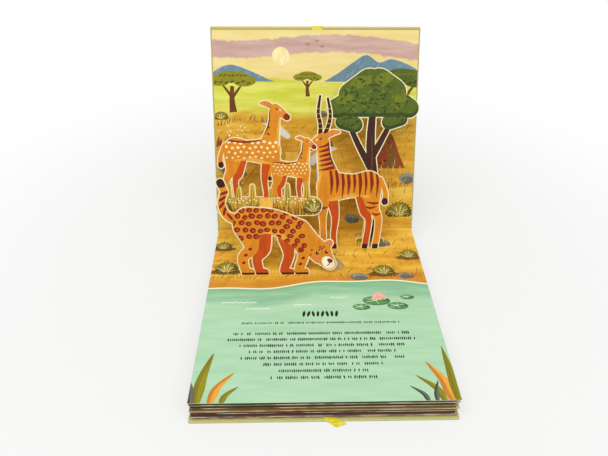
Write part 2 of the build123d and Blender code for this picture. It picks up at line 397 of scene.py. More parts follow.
@dataclass(frozen=True)
class Spread:
    """The open spread: its gutter line, its page size and the planes that lie on it."""

    gutter: Vector
    page_up: Vector
    page_out: Vector
    width: float = 200.0
    depth: float = 195.0

    @classmethod
    def from_frame(cls, packed: dict[str, Any], opening: float = 119.0) -> "Spread":
        """Reads the gutter from the cover's hinge.

        Args:
            packed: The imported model's frame.
            opening: Angle between the pages in degrees.

        Returns:
            The spread.
        """
        hinge = next(joint for joint in packed["joints"] if joint["name"] == HINGE)
        lean = radians(opening)
        up = Vector((0, -cos(lean), sin(lean)))
        return cls(Vector(hinge["pos_m"]), up, Vector((0, -up.z, up.y)))

    def upper(self) -> PrintPlane:
        """The printed face of the upper page."""
        return PrintPlane(self.gutter, self.page_up, self.page_out)

    def lower(self) -> PrintPlane:
        """The printed face of the lower page, with its front edge at negative heights."""
        return PrintPlane(self.gutter, Vector((0, 1, 0)), Vector((0, 0, 1)))

    def standing(self, depth: float) -> PrintPlane:
        """The back of a card figure that stands this far in front of the gutter."""
        return PrintPlane(self.gutter - Vector((0, depth * MM, 0)), self.page_up, self.page_out)


def box_loop(left: float, low: float, right: float, high: float) -> Loop:
    """Outline of an upright rectangle."""
    return [(left, low), (right, low), (right, high), (left, high)]


def limb_loop(near: Joint, far: Joint) -> Loop:
    """Outline of two round joints and the skin between them.

    Args:
        near: Across, up and radius of the first joint.
        far: The same for the second joint.

    Returns:
        The outline's points.
    """
    (x1, y1, r1), (x2, y2, r2) = near, far
    course = atan2(y2 - y1, x2 - x1)
    spread = acos((r1 - r2) / hypot(x2 - x1, y2 - y1))
    loop = []
    for joint, start, turn in (
        (near, course + spread, tau - 2 * spread), (far, course - spread, 2 * spread),
    ):
        for i in range(ARC_STEPS + 1):
            angle = start + turn * (i / ARC_STEPS)
            loop.append((joint[0] + joint[2] * cos(angle), joint[1] + joint[2] * sin(angle)))
    return loop


def oval_loop(x: float, y: float, across: float, up: float, turn: float = 0.0) -> Loop:
    """Outline of an oval.

    Args:
        x: Place across.
        y: Place up.
        across: Half width.
        up: Half height.
        turn: Turn in radians.

    Returns:
        The outline's points.
    """
    level, tilt = cos(turn), sin(turn)
    loop = []
    for i in range(2 * ARC_STEPS):
        a = across * cos(pi * i / ARC_STEPS)
        b = up * sin(pi * i / ARC_STEPS)
        loop.append((x + a * level - b * tilt, y + a * tilt + b * level))
    return loop


def smooth_line(points: Sequence[Sequence[float]], steps: int = 6) -> list[tuple]:
    """Smooth curve through a few points.

    Args:
        points: The points, in order.
        steps: Stretches between two points.

    Returns:
        Points along the curve.
    """
    last = len(points) - 1
    line = []
    for i in range(last):
        p = [points[min(max(i + k, 0), last)] for k in (-1, 0, 1, 2)]
        for t in [step / steps for step in range(steps)]:
            weights = (
                (2 * t * t - t - t ** 3) / 2,
                (2 - 5 * t * t + 3 * t ** 3) / 2,
                (t + 4 * t * t - 3 * t ** 3) / 2,
                (t ** 3 - t * t) / 2,
            )
            line.append(tuple(sum(w * q[axis] for w, q in zip(weights, p)) for axis in range(len(p[0]))))
    return [*line, tuple(points[-1])]


def stroke_loop(points: Sequence[Point], widths: Sequence[float], steps: int = 5) -> Loop:
    """Outline of a brush stroke along a smooth line.

    Args:
        points: The stroke's middle line.
        widths: Its full width at even shares of its length.
        steps: Stretches between two points.

    Returns:
        The outline's points.
    """
    line = smooth_line(points, steps)
    last = len(line) - 1
    left, right = [], []
    for i, (x, y) in enumerate(line):
        (x0, y0), (x1, y1) = line[max(i - 1, 0)], line[min(i + 1, last)]
        run = hypot(x1 - x0, y1 - y0)
        share = i / last * (len(widths) - 1)
        low = min(int(share), len(widths) - 2)
        half = (widths[low] + (widths[low + 1] - widths[low]) * (share - low)) / 2
        aside = ((y0 - y1) / run * half, (x1 - x0) / run * half)
        left.append((x + aside[0], y + aside[1]))
        right.append((x - aside[0], y - aside[1]))
    return right + left[::-1]


def blade_loop(x: float, y: float, height: float, lean: float, width: float) -> Loop:
    """Outline of a grass blade that bends towards its tip."""
    middle = (x + lean * 0.3, y + height * 0.55)
    return stroke_loop([(x, y), middle, (x + lean, y + height)], (width, width * 0.8, width * 0.1), 4)


def lobed_loop(
    x: float, y: float, across: float, up: float, lobes: int, depth: float, turn: float = 0.0
) -> Loop:
    """Outline of a rounded form with soft lobes, such as a stone.

    Args:
        x: Place across.
        y: Place up.
        across: Half width.
        up: Half height.
        lobes: Number of lobes round the form.
        depth: Depth of the lobes as a share of the radius.
        turn: Where the first lobe lies, in radians.

    Returns:
        The outline's points.
    """
    loop = []
    for i in range(6 * ARC_STEPS):
        angle = tau * i / (6 * ARC_STEPS)
        swell = 1 + depth * abs(sin(lobes * angle / 2 + turn)) - depth / 2
        loop.append((x + across * swell * cos(angle), y + up * swell * sin(angle)))
    return loop


@dataclass(frozen=True)
class Stance:
    """Where a drawn figure stands: its size, its place and lift, and the side that it faces."""

    size: float
    place: float
    lift: float = 0.0
    facing: int = 1

    def at(self, x: float, y: float) -> Point:
        """A place in millimetres from shares of the figure's size."""
        return (self.place + self.facing * x * self.size, self.lift + y * self.size)

    def chains(self, chains: Iterable[Chain], grow: float = INK_SPREAD, steps: int = 3) -> list[Loop]:
        """Outlines of all limbs of some chains.

        Args:
            chains: Round joints in shares of the figure's size.
            grow: Border round the chains in millimetres.
            steps: Joints that a smooth bend has for each given one.

        Returns:
            One outline for each limb.
        """
        loops = []
        for chain in chains:
            joints = [(*self.at(x, y), radius * self.size + grow) for x, y, radius in chain]
            bent = smooth_line(joints, steps) if len(joints) > 2 else joints
            loops += [limb_loop(near, far) for near, far in zip(bent, bent[1:])]
        return loops

    def moved(self, across: float, up: float) -> "Stance":
        """This stance at another place, moved by millimetres."""
        return replace(self, place=self.place + across, lift=self.lift + up)

    def oval(self, x: float, y: float, across: float, up: float, turn: float = 0.0) -> Loop:
        """Outline of an oval given in shares."""
        return oval_loop(*self.at(x, y), across * self.size, up * self.size, turn * self.facing)

    def band(self, low: float, high: float) -> Loop:
        """Outline of a level band across the whole figure, from one share of its height to another."""
        bottom, top = (self.lift + share * self.size for share in (low, high))
        return box_loop(self.place - self.size, bottom, self.place + self.size, top)


@dataclass(frozen=True)
class Dab:
    """Ovals of one ink and half size, in shares of a figure's size."""

    ink: Ink
    size: Point
    spots: Row
    turn: float = 0.0

    def loops(self, at: Stance) -> list[Loop]:
        """Outlines of the ovals."""
        return [at.oval(*spot, *self.size, self.turn) for spot in self.spots]


@dataclass(frozen=True)
class Brush:
    """A brush stroke with its widths along its line, in shares of a figure's size."""

    ink: Ink
    widths: tuple[float, ...]
    line: Row

    def loops(self, at: Stance) -> list[Loop]:
        """Outline of the stroke."""
        line = [at.at(*point) for point in self.line]
        return [stroke_loop(line, [width * at.size for width in self.widths])]


Mark = Union[Dab, Brush]


@dataclass(frozen=True)
class PrintField:
    """One field of ink, which may name the part that it makes and the part that it shows within."""

    loop: Loop
    ink: Optional[Ink]
    part: str
    within: str


def paint_face(face: bmesh.types.BMFace, paint: bmesh.types.BMLayerItem, colour: Colour) -> None:
    """Writes one colour to a face's corners."""
    for corner in face.loops:
        corner[paint] = colour


@dataclass
class FlatPrint:
    """A print split into triangles of one ink each."""

    points: list[Vector]
    triangles: list[Sequence[int]]
    inks: list[Ink]

    def solid(self, name: str, low: float, high: float, rim: Optional[Ink]) -> Mesh:
        """Gives the print a thickness, as one closed mesh with its inks in an attribute.

        Args:
            name: The mesh's name.
            low: Height of its underside in millimetres.
            high: Height of its printed side.
            rim: Ink of its edges and underside, or none to let the print's own run round.

        Returns:
            The mesh, flat in X and Y, in metres.
        """
        made = bmesh.new()
        paint = made.loops.layers.float_color.new(INK_ATTRIBUTE)
        used = sorted({corner for triangle in self.triangles for corner in triangle})
        top, base = (
            {i: made.verts.new((self.points[i].x * MM, self.points[i].y * MM, level * MM)) for i in used}
            for level in (high, low)
        )
        owners = {}
        for triangle, ink in zip(self.triangles, self.inks):
            colour = ink.linear()
            back = rim.linear() if rim else colour
            paint_face(made.faces.new([top[i] for i in triangle]), paint, colour)
            paint_face(made.faces.new([base[i] for i in reversed(triangle)]), paint, back)
            for start, end in zip(triangle, [*triangle[1:], triangle[0]]):
                owners[(start, end)] = back
        for (start, end), colour in owners.items():
            if (end, start) not in owners:
                paint_face(made.faces.new((base[start], base[end], top[end], top[start])), paint, colour)
        mesh = bpy.data.meshes.new(name)
        made.to_mesh(mesh)
        made.free()
        return mesh


@dataclass
class Artwork:
    """Fields of ink in their order of printing."""

    fields: list[PrintField] = field(default_factory=list)

    def add(self, loops: Iterable[Loop], ink: Optional[Ink], part: str = "", within: str = "") -> None:
        """Adds fields of one ink over those that are there.

        Args:
            loops: Outlines in millimetres.
            ink: Their colour, or none for a mask.
            part: The part that they make.
            within: The part outside which they don't show.
        """
        for loop in loops:
            area = sum(x0 * y1 - x1 * y0 for (x0, y0), (x1, y1) in zip(loop, loop[1:] + loop[:1]))
            self.fields.append(PrintField(loop if area > 0 else loop[::-1], ink, part, within))

    def mark(self, at: Stance, marks: Iterable[Mark], within: str = "") -> None:
        """Adds a figure's marks, each over those before it."""
        for mark in marks:
            self.add(mark.loops(at), mark.ink, "", within)

    def layout(self, card: str) -> FlatPrint:
        """Splits the overlapping fields where they cross and keeps the topmost ink of each patch.

        Args:
            card: The part outside which nothing is printed.

        Returns:
            The split print.
        """
        points, faces = [], []
        for entry in self.fields:
            faces.append(list(range(len(points), len(points) + len(entry.loop))))
            points += [Vector(point) for point in entry.loop]
        found = geometry.delaunay_2d_cdt(points, [], faces, INSIDE_ONLY, NEARNESS)
        flat = FlatPrint(found[0], [], [])
        for triangle, cover in zip(found[2], found[5]):
            parts = {self.fields[i].part for i in cover}
            shown = [i for i in cover if self.fields[i].ink and self.fields[i].within in {"", *parts}]
            if card in parts and CUT_PART not in parts and shown:
                flat.triangles.append(triangle)
                flat.inks.append(self.fields[max(shown)].ink)
        return flat


def mesh_object(name: str, mesh: Mesh, material: Optional[Material]) -> Object:
    """Links a mesh as an object at the origin.

    Args:
        name: The object's name.
        mesh: Its mesh, in place.
        material: Its finish, if it has one.

    Returns:
        The new object.
    """
    made = bpy.data.objects.new(name, mesh)
    mesh.materials.clear()
    if material:
        mesh.materials.append(material)
    bpy.context.scene.collection.objects.link(made)
    return made


def add_piece(made: Object, body: str, slot: str, *nodes: str) -> None:
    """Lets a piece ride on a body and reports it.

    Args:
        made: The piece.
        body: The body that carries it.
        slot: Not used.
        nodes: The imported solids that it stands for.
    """
    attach(made, body)
    if nodes:
        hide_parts(*nodes)
    LOG.info("%s: %d faces on %s", made.name, len(made.data.polygons), body)


def dress_node(node: Object, material: Material) -> None:
    """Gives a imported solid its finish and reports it.

    Args:
        node: The solid's object.
        material: Its finish.
    """
    node.data.materials.clear()
    node.data.materials.append(material)
    LOG.info("%s: dressed in %s", node.name, material.name)


def cloth_mesh(name: str, rows: Sequence[Sequence[Vector]], thickness: float) -> Mesh:
    """Closed sheet of cloth or paper through rows of places.

    Args:
        name: The mesh's name.
        rows: Places across the sheet, row after row along it, in metres.
        thickness: Its thickness in millimetres.

    Returns:
        The mesh, with a map of its width and its run in metres.
    """
    made = bmesh.new()
    weave = made.loops.layers.uv.new(WEAVE_MAP)
    last_row, last = len(rows) - 1, len(rows[0]) - 1
    runs = [0.0]
    for near, far in zip(rows, rows[1:]):
        runs.append(runs[-1] + (far[last // 2] - near[last // 2]).length)
    spots = {}
    grids = {1: [], -1: []}
    for i, row in enumerate(rows):
        for side, grid in grids.items():
            line = []
            for k, place in enumerate(row):
                course = rows[min(i + 1, last_row)][k] - rows[max(i - 1, 0)][k]
                across = row[min(k + 1, last)] - row[max(k - 1, 0)]
                away = across.cross(course).normalized() * (side * thickness / 2 * MM)
                line.append(made.verts.new(place + away))
                spots[line[-1]] = (k / last * (row[-1] - row[0]).length, runs[i])
            grid.append(line)
    upper, lower = grids[1], grids[-1]
    quads = []
    for i in range(last_row):
        for k in range(last):
            quads.append((upper[i][k], upper[i][k + 1], upper[i + 1][k + 1], upper[i + 1][k]))
            quads.append((lower[i][k], lower[i + 1][k], lower[i + 1][k + 1], lower[i][k + 1]))
        quads.append((upper[i][0], upper[i + 1][0], lower[i + 1][0], lower[i][0]))
        quads.append((upper[i][-1], lower[i][-1], lower[i + 1][-1], upper[i + 1][-1]))
    for k in range(last):
        quads.append((upper[0][k], lower[0][k], lower[0][k + 1], upper[0][k + 1]))
        quads.append((upper[-1][k], upper[-1][k + 1], lower[-1][k + 1], lower[-1][k]))
    for quad in quads:
        face = made.faces.new(quad)
        face.smooth = True
        for corner in face.loops:
            corner[weave].uv = spots[corner.vert]
    mesh = bpy.data.meshes.new(name)
    made.to_mesh(mesh)
    made.free()
    return mesh


def straight_rows(line: Sequence[Vector], width: float, columns: int) -> list[list[Vector]]:
    """Rows of a strip of even width, in millimetres, along a line in metres."""
    shares = [k / columns - 0.5 for k in range(columns + 1)]
    return [[place + ACROSS * (width * MM * share) for share in shares] for place in line]


@dataclass(frozen=True)
class PrintedInk:
    """Matte ink on card, in the colour that the mesh holds, with the drag of a dry brush."""

    name: str = "printed_ink"
    drag_scale: Point = (190.0, 45.0)
    drag_span: Point = (0.32, 0.68)
    grain_scale: float = 620.0
    relief: float = 0.02
    specular: float = 0.18

    def material(self) -> Material:
        """Makes the finish.

        Returns:
            The material.
        """
        bench = FinishBench(self.name)
        across, back, rise = bench.parts(bench.place)
        drag = bench.streaks(across, back + rise, self.drag_scale, 4.0, 0.6).step(*self.drag_span)
        grain = bench.noise(bench.place, self.grain_scale, 3.0, 0.6)
        colour = bench.shade(bench.attribute(INK_ATTRIBUTE, "Color"), 0.80 + drag * 0.20 + grain * 0.14)
        roughness = 0.50 + grain * 0.14
        return bench.surface(colour, roughness, bench.fibre(), self.relief, Specular_IOR_Level=self.specular)


@dataclass(frozen=True)
class WhiteCard:
    """Uncoated white card with faint fibres."""

    name: str = "white_card"
    tint: Tint = (240, 239, 234)
    cloud_scale: float = 60.0
    relief: float = 0.03
    specular: float = 0.3

    def material(self) -> Material:
        """Makes the finish.

        Returns:
            The material.
        """
        bench = FinishBench(self.name)
        cloud = bench.noise(bench.place, self.cloud_scale)
        fibre = bench.fibre()
        colour = bench.shade(self.tint, 0.93 + cloud * 0.07 + fibre * 0.05)
        roughness = 0.72 + fibre * 0.1
        return bench.surface(colour, roughness, fibre, self.relief, Specular_IOR_Level=self.specular)


@dataclass(frozen=True)
class CoverPaper:
    """Printed paper over board, paler where the side edges are rubbed, with a painted highlight at the lip's
    outer edge and painted shade along the page.
    """

    name: str
    tint: Tint
    half_width: float
    gutter: Vector
    run: Vector
    page: float
    lip: float
    lip_highlight_share: float
    wear_and_highlight_tint: Tint = (240, 233, 194)
    cloud_scale: float = 34.0
    fleck_scale: float = 900.0
    wear_and_highlight_scale: float = 120.0
    rub_width: float = 0.8
    page_shade_place: float = 0.1
    page_shade_span: Point = (0.2, 1.0)
    relief: float = 0.03
    specular: float = 0.4

    def material(self) -> Material:
        """Makes the finish.

        Returns:
            The material.
        """
        bench = FinishBench(self.name)
        cloud = bench.noise(bench.place, self.cloud_scale, 5.0, 0.6)
        fleck = bench.noise(bench.place, self.fleck_scale, 2.0)
        wear_and_highlight_noise = bench.noise(bench.place, self.wear_and_highlight_scale, 3.0)
        side = bench.along(ACROSS).size().step(self.half_width - self.rub_width, self.half_width)
        rub = side * wear_and_highlight_noise.step(0.45, 0.75)
        reach = bench.along(self.run, self.gutter) - self.page
        # Painted shade: a darker band on the cover along the page's outer edge, where the cover meets it.
        page_shade = 1.0 - (reach - self.page_shade_place).size().step(*self.page_shade_span)
        # Painted highlight: the outer part of each lip is mixed towards the pale tint, more on the upper
        # cover, broken up by the same noise that marks the rubbed side edges.
        rim = reach.step(self.lip * 0.45, self.lip + 0.2)
        tone = bench.shade(self.tint, 0.86 + cloud * 0.16 + fleck * 0.08 - page_shade * 0.30)
        colour = bench.mix((rub * 0.4).most(rim * (self.lip_highlight_share + wear_and_highlight_noise * 0.4)), tone, self.wear_and_highlight_tint)
        roughness = 0.46 + cloud * 0.16
        return bench.surface(colour, roughness, bench.fibre(), self.relief, Specular_IOR_Level=self.specular)


@dataclass(frozen=True)
class LeafEdges:
    """Leaves of the block: each page in the tone of its own print, with a pale core at its cut edge and
    painted shade on its faces outside a tan middle.
    """

    count: int
    name: str = "leaf_edges"
    tones: tuple[Tint, ...] = (
        (100, 68, 76), (124, 82, 82), (140, 76, 48), (112, 86, 82),
        (170, 140, 74), (126, 92, 48), (124, 124, 80), (76, 104, 66),
    )
    face_tint: Tint = (188, 160, 102)
    face_start: float = 10.0
    face_reach: Point = (80.0, 84.0)
    core_tint: Tint = (216, 200, 158)
    core_light: Tint = (236, 226, 196)
    cut_rim: Point = (0.9980, 0.9990)
    bleach: Point = (-30.0, 110.0)
    bleach_tint: Tint = (196, 184, 140)
    relief: float = 0.04
    specular: float = 0.3

    def material(self) -> Material:
        """Makes the finish.

        Returns:
            The material.
        """
        bench = FinishBench(self.name)
        leaf, rim = (bench.attribute(name, "Fac") for name in (LEAF_ATTRIBUTE, RIM_ATTRIBUTE))
        stops = [(i / self.count, linear_colour(tone)) for i, tone in enumerate(self.tones)]
        tone = bench.take("ShaderNodeValToRGB", {"stops": stops}, {0: (leaf + 0.5) / self.count})
        across, back = bench.along(ACROSS), bench.along(Vector((0, 1, 0)))
        run = bench.noise(bench.vector(across * 0.03, leaf * 5.1, back * 0.03), 1.0, 4.0)
        streak = bench.streaks(across, leaf, (0.045, 3.7), 3.0)
        fibre = bench.fibre()
        front = back.step(self.face_start, self.face_start + 1.0)
        inner = front * (1.0 - across.size().step(*self.face_reach))
        inked = bench.shade(tone, 0.66 + streak * 0.55)
        # Painted shade: outside the tan middle, the leaves' faces, which show only in the gaps between
        # leaves, are darkened to half their tone.
        page = bench.mix(inner, bench.shade(inked, 0.5), self.face_tint)
        core = bench.mix(streak.step(0.40, 0.66), inked, self.core_tint)
        core = bench.mix(run.step(0.52, 0.66) * 0.7, core, self.core_light)
        core = bench.mix(across.step(*self.bleach) * 0.5, core, self.bleach_tint)
        colour = bench.shade(bench.mix(rim.step(*self.cut_rim), page, core), 0.90 + fibre * 0.16)
        roughness = 0.68 + fibre * 0.12
        return bench.surface(colour, roughness, fibre, self.relief, Specular_IOR_Level=self.specular)


@dataclass(frozen=True)
class BrushWork:
    """Painted ground: broad strokes of two tones, darker dabs and lighter drifts."""

    tones: tuple[Tint, Tint]
    dab_tone: Tint
    drift_tone: Tint
    stroke_scale: Point
    dab_scale: Point
    drift_scale: Point
    stroke_span: Point
    dab_span: Point
    drift_span: Point = (0.50, 0.66)

    def paint(self, bench: FinishBench, across: Wire, run: Wire) -> tuple[Wire, Wire, Wire]:
        """Paints the ground.

        Args:
            bench: The bench of the page's material.
            across: Millimetres across the page.
            run: Millimetres from the gutter along the page.

        Returns:
            The ground's colour, and the noise of its strokes and of its dabs.
        """
        strokes = bench.streaks(across, run, self.stroke_scale, 5.0, 0.62)
        dabs = bench.streaks(across, run, self.dab_scale, 4.0, 0.6)
        drift = bench.streaks(across, run, self.drift_scale, 2.0)
        ground = bench.mix(strokes.step(*self.stroke_span), *self.tones)
        ground = bench.mix(dabs.step(*self.dab_span) * 0.6, ground, self.dab_tone)
        return bench.mix(drift.step(*self.drift_span) * 0.8, ground, self.drift_tone), strokes, dabs


@dataclass(frozen=True)
class PagePrint:
    """Matte print on the front of a page, whose back and cut edges stay plain."""

    plane: PrintPlane
    name: str
    front: Point
    light: Point
    roughness: float
    specular: float
    relief: float = 0.02

    def paint(self, bench: FinishBench, across: Wire, up: Wire) -> tuple[Wire, Wire]:
        """Paints the page's picture in a colour, and gives the noise that its gloss follows."""
        raise NotImplementedError

    def material(self) -> Material:
        """Makes the finish.

        Returns:
            The material.
        """
        bench = FinishBench(self.name)
        ways = (ACROSS, self.plane.up, self.plane.out)
        across, up, out = (bench.along(way, self.plane.origin) for way in ways)
        colour, gloss = self.paint(bench, across, up)
        fibre = bench.fibre()
        printed = bench.shade(colour, self.light[0] + fibre * self.light[1])
        colour = bench.mix(out.step(*self.front), Ink.BLANK, printed)
        roughness = self.roughness + gloss * 0.16
        return bench.surface(colour, roughness, fibre, self.relief, Specular_IOR_Level=self.specular)


@dataclass(frozen=True)
class UpperPrint(PagePrint):
    """Print of the upper page: evening sky, far field and meadow in broad brush work."""

    name: str = "upper_print"
    front: Point = (-0.49, -0.45)
    light: Point = (0.94, 0.11)
    roughness: float = 0.48
    specular: float = 0.18
    meadow: BrushWork = BrushWork(
        ((206, 146, 36), (234, 186, 64)), (178, 114, 30), (242, 202, 88),
        (0.020, 0.13), (0.11, 0.07), (0.012, 0.02), (0.34, 0.66), (0.56, 0.72),
    )
    far_tones: tuple[Tint, Tint] = ((206, 210, 62), (232, 230, 112))
    sky_tones: tuple[Tint, Tint] = ((236, 212, 128), (244, 224, 158))
    cloud_tones: tuple[Tint, Tint] = ((196, 158, 148), (216, 182, 166))
    field_line: float = 116.0
    sky_line: float = 149.0
    cloud_line: float = 171.0
    cloud_top: float = 187.0

    def paint(self, bench: FinishBench, across: Wire, up: Wire) -> tuple[Wire, Wire]:
        """Paints meadow, field, sky and cloud, one above the other.

        Args:
            bench: The material's bench.
            across: Millimetres across the page.
            up: Millimetres up the page.

        Returns:
            The colour, and the noise that its gloss follows.
        """
        colour, strokes, dabs = self.meadow.paint(bench, across, up)
        far = bench.mix(strokes.step(0.30, 0.70), *self.far_tones)
        sky = bench.mix(strokes.step(0.25, 0.75), *self.sky_tones)
        cloud = bench.mix(strokes.step(0.30, 0.70), *self.cloud_tones)
        wave = (across * 0.027 + 0.8).sine() * 3.4 + (dabs - 0.5) * 5.0
        low = up + wave
        high = up - wave * 1.3 + across * 0.03
        for height, line, before, past, layer in (
            (low, self.field_line, 7.0, 6.0, far), (low, self.sky_line, 0.4, 0.4, sky),
            (high, self.cloud_line, 1.0, 1.0, cloud), (high, self.cloud_top, 1.0, 1.0, sky),
        ):
            colour = bench.mix(height.step(line - before, line + past), colour, layer)
        return colour, dabs


@dataclass(frozen=True)
class LowerPrint(PagePrint):
    """Print of the lower page: golden bank with a pale rim, and water that deepens along it."""

    name: str = "lower_print"
    front: Point = (-0.10, -0.03)
    light: Point = (0.95, 0.09)
    roughness: float = 0.44
    specular: float = 0.2
    ground: BrushWork = BrushWork(
        ((214, 150, 36), (240, 192, 68)), (188, 114, 30), (246, 206, 90),
        (0.018, 0.15), (0.10, 0.08), (0.016, 0.028), (0.32, 0.68), (0.54, 0.70),
    )
    shore_tone: Tint = (202, 130, 38)
    water_tones: tuple[Tint, Tint] = ((168, 210, 170), (182, 219, 182))
    shallow_tones: tuple[Tint, Tint] = ((138, 188, 148), (160, 205, 164))
    edge_tone: Tint = (128, 184, 134)
    bank: float = 79.0
    rim: float = 0.7

    def paint(self, bench: FinishBench, across: Wire, up: Wire) -> tuple[Wire, Wire]:
        """Paints the bank and the water on either side of a wavy shore.

        Args:
            bench: The material's bench.
            across: Millimetres across the page.
            up: Millimetres up the page's plane, negative in front of the gutter.

        Returns:
            The colour, and the noise that its gloss follows.
        """
        depth = -up
        ground, strokes, dabs = self.ground.paint(bench, across, depth)
        wave = (across * 0.031 + 0.6).sine() * 3.6 + (across * 0.083 + 2.0).sine() * 1.3 + across * 0.022
        past = depth + wave - self.bank
        swell = past + (across * 0.060 + 1.1).sine() * 2.2 + (dabs - 0.5) * 4.0
        ground = bench.mix(past.step(-19.0, -3.0) * 0.8, ground, self.shore_tone)
        water = bench.mix(strokes.step(0.30, 0.70), *self.water_tones)
        shallow = bench.mix(strokes.step(0.36, 0.66), *self.shallow_tones)
        water = bench.mix(swell.step(13.0, 22.0), shallow, water)
        water = bench.mix(past.step(0.0, 9.0), self.edge_tone, water)
        colour = bench.mix(past.step(-0.2, 0.2), ground, water)
        line = 1.0 - past.size().step(self.rim * 0.7, self.rim * 1.3)
        return bench.mix(line, colour, Ink.PALE), dabs


@dataclass(frozen=True)
class SatinRibbon:
    """Lemon satin with fine cross ribs and closed selvedges, with painted sheen in streaks and on the rib
    crests.
    """

    name: str = "satin_ribbon"
    tones: tuple[Tint, Tint] = ((222, 202, 10), (248, 234, 40))
    width: float = 10.0
    rib: float = 0.28
    selvedge: Point = (0.8, 0.5)
    sheen_streak_scale: Point = (0.12, 0.5)
    relief: float = 0.03
    sheen: float = 0.25
    stretch: float = 0.4

    def material(self) -> Material:
        """Makes the finish.

        Returns:
            The material.
        """
        bench = FinishBench(self.name)
        weave = bench.parts(bench.take("ShaderNodeUVMap", {"uv_map": WEAVE_MAP}, {}))
        across, along = (part / MM for part in weave[:2])
        half = self.width / 2
        ribs = (along * (tau / self.rib)).sine() * 0.5 + 0.5
        edge = (across - half).size().step(half - self.selvedge[0], half - self.selvedge[1])
        # Painted sheen: lighter and darker yellow streaks along the ribbon, and rib crests painted a little
        # lighter.
        painted_sheen = bench.streaks(across, along, self.sheen_streak_scale, 2.0)
        tone = bench.mix(painted_sheen.step(0.35, 0.70), *self.tones)
        colour = bench.shade(tone, 0.90 + ribs * 0.08 + edge * 0.05)
        roughness = 0.30 + edge * 0.12 + ribs * 0.06
        plain = {"Sheen_Weight": self.sheen, "Anisotropic": self.stretch}
        return bench.surface(colour, roughness, ribs * 0.7 + edge, self.relief, **plain)


class FormTree(NodeBench):
    """Geometry nodes with a named input for each value, which end in one plain mesh."""

    kinds: dict[type, str] = {
        float: "NodeSocketFloat", int: "NodeSocketInt", tuple: "NodeSocketColor", Vector: "NodeSocketVector",
        Object: "NodeSocketObject", Material: "NodeSocketMaterial",
    }

    def __init__(self, name: str, values: dict[str, Any]) -> None:
        """Starts a tree with its inputs.

        Args:
            name: The tree's name.
            values: The inputs' values by their names; the finish goes under "Finish".
        """
        super().__init__(bpy.data.node_groups.new(name, "GeometryNodeTree"))
        make = self.tree.interface.new_socket
        for way in ("OUTPUT", "INPUT"):
            make(name="Geometry", in_out=way, socket_type="NodeSocketGeometry")
        self.values = {}
        for label, value in values.items():
            kind = next(kind for form, kind in self.kinds.items() if isinstance(value, form))
            self.values[make(name=label, in_out="INPUT", socket_type=kind).identifier] = value
        given = self.node("NodeGroupInput", {}, {}).outputs
        self.given = {label: Wire(self, given[label]) for label in ("Geometry", *values)}

    def store(self, form: Wire, name: str, kind: str, value: Wire) -> Wire:
        """Writes a value to each point under a name."""
        sockets = {"Geometry": form, "Name": name, "Value": value}
        return self.take("GeometryNodeStoreNamedAttribute", {"data_type": kind, "domain": "POINT"}, sockets)

    def close(self, form: Wire) -> None:
        """Ends the tree in real geometry with its finish.

        Args:
            form: The geometry, which may hold instances.
        """
        whole = self.take("GeometryNodeRealizeInstances", {}, {0: form})
        sockets = {"Geometry": whole, "Material": self.given["Finish"]}
        self.node("NodeGroupOutput", {}, {0: self.take("GeometryNodeSetMaterial", {}, sockets)})

    def run(self, name: str, guide: Mesh) -> Mesh:
        """Runs the tree as a modifier, with its inputs set before it is first evaluated.

        Args:
            name: The new mesh's name.
            guide: The mesh that the tree is given.

        Returns:
            The plain mesh; the guide's object is removed with its modifier.
        """
        host = mesh_object(name + "_guide", guide, None)
        modifier = host.modifiers.new(name, "NODES")
        modifier.node_group = self.tree
        for identifier, value in self.values.items():
            modifier[identifier] = tuple(value) if isinstance(value, Vector) else value
        bpy.context.view_layer.update()
        mesh = bpy.data.meshes.new_from_object(host.evaluated_get(bpy.context.evaluated_depsgraph_get()))
        mesh.name = name
        bpy.data.objects.remove(host)
        return mesh


class PrintTree(FormTree):
    """Geometry nodes that print one flat shape many times, over patches or along rows."""

    most_density: float = 1e8

    def patches(self) -> Wire:
        """Strews points evenly over the guide's faces.

        Returns:
            The points.
        """
        sockets = {
            "Mesh": self.given["Geometry"], "Distance Min": self.given["Spacing"],
            "Density Max": self.most_density, "Seed": self.given["Seed"],
        }
        settings = {"distribute_method": "POISSON"}
        return self.take("GeometryNodeDistributePointsOnFaces", settings, sockets, "Points")

    def rows(self) -> Wire:
        """Sets points at even steps along the guide's edges.

        Returns:
            The points.
        """
        curve = self.take("GeometryNodeMeshToCurve", {}, {"Mesh": self.given["Geometry"]})
        sockets = {"Curve": curve, "Length": self.given["Spacing"]}
        return self.take("GeometryNodeResampleCurve", {"mode": "LENGTH"}, sockets)

    def chance(self, kind: str, shift: int, sockets: Sockets, output: int) -> Wire:
        """A random value for each point, from the tree's seed and a shift."""
        seeded = {**sockets, 8: self.given["Seed"] + float(shift)}
        return self.take("FunctionNodeRandomValue", {"data_type": kind}, seeded, output)

    def print_on(self, points: Wire) -> None:
        """Prints the shape on points, with random ink, turn and scale, and ends the tree.

        Args:
            points: The points to print on.
        """
        given = self.given
        blend = self.chance("FLOAT", 1, {2: 0.0, 3: 1.0}, 1)
        ink = self.mix(blend, given["First Ink"], given["Second Ink"])
        turn = self.chance("FLOAT", 2, {2: -given["Turn"], 3: given["Turn"]}, 1)
        sockets = {
            "Points": self.store(points, INK_ATTRIBUTE, "FLOAT_COLOR", ink),
            "Selection": self.chance("BOOLEAN", 4, {6: given["Share"]}, 3),
            "Instance": self.take("GeometryNodeObjectInfo", {}, {"Object": given["Shape"]}, "Geometry"),
            "Rotation": self.take("FunctionNodeEulerToRotation", {}, {0: self.vector(0.0, 0.0, turn)}),
            "Scale": self.chance("FLOAT", 3, {2: given["Least Scale"], 3: given["Most Scale"]}, 1),
        }
        self.close(self.take("GeometryNodeInstanceOnPoints", {}, sockets))


class PrintWay(Enum):
    """How a repeated shape is laid out."""

    PATCHES = "patches"
    ROWS = "rows"


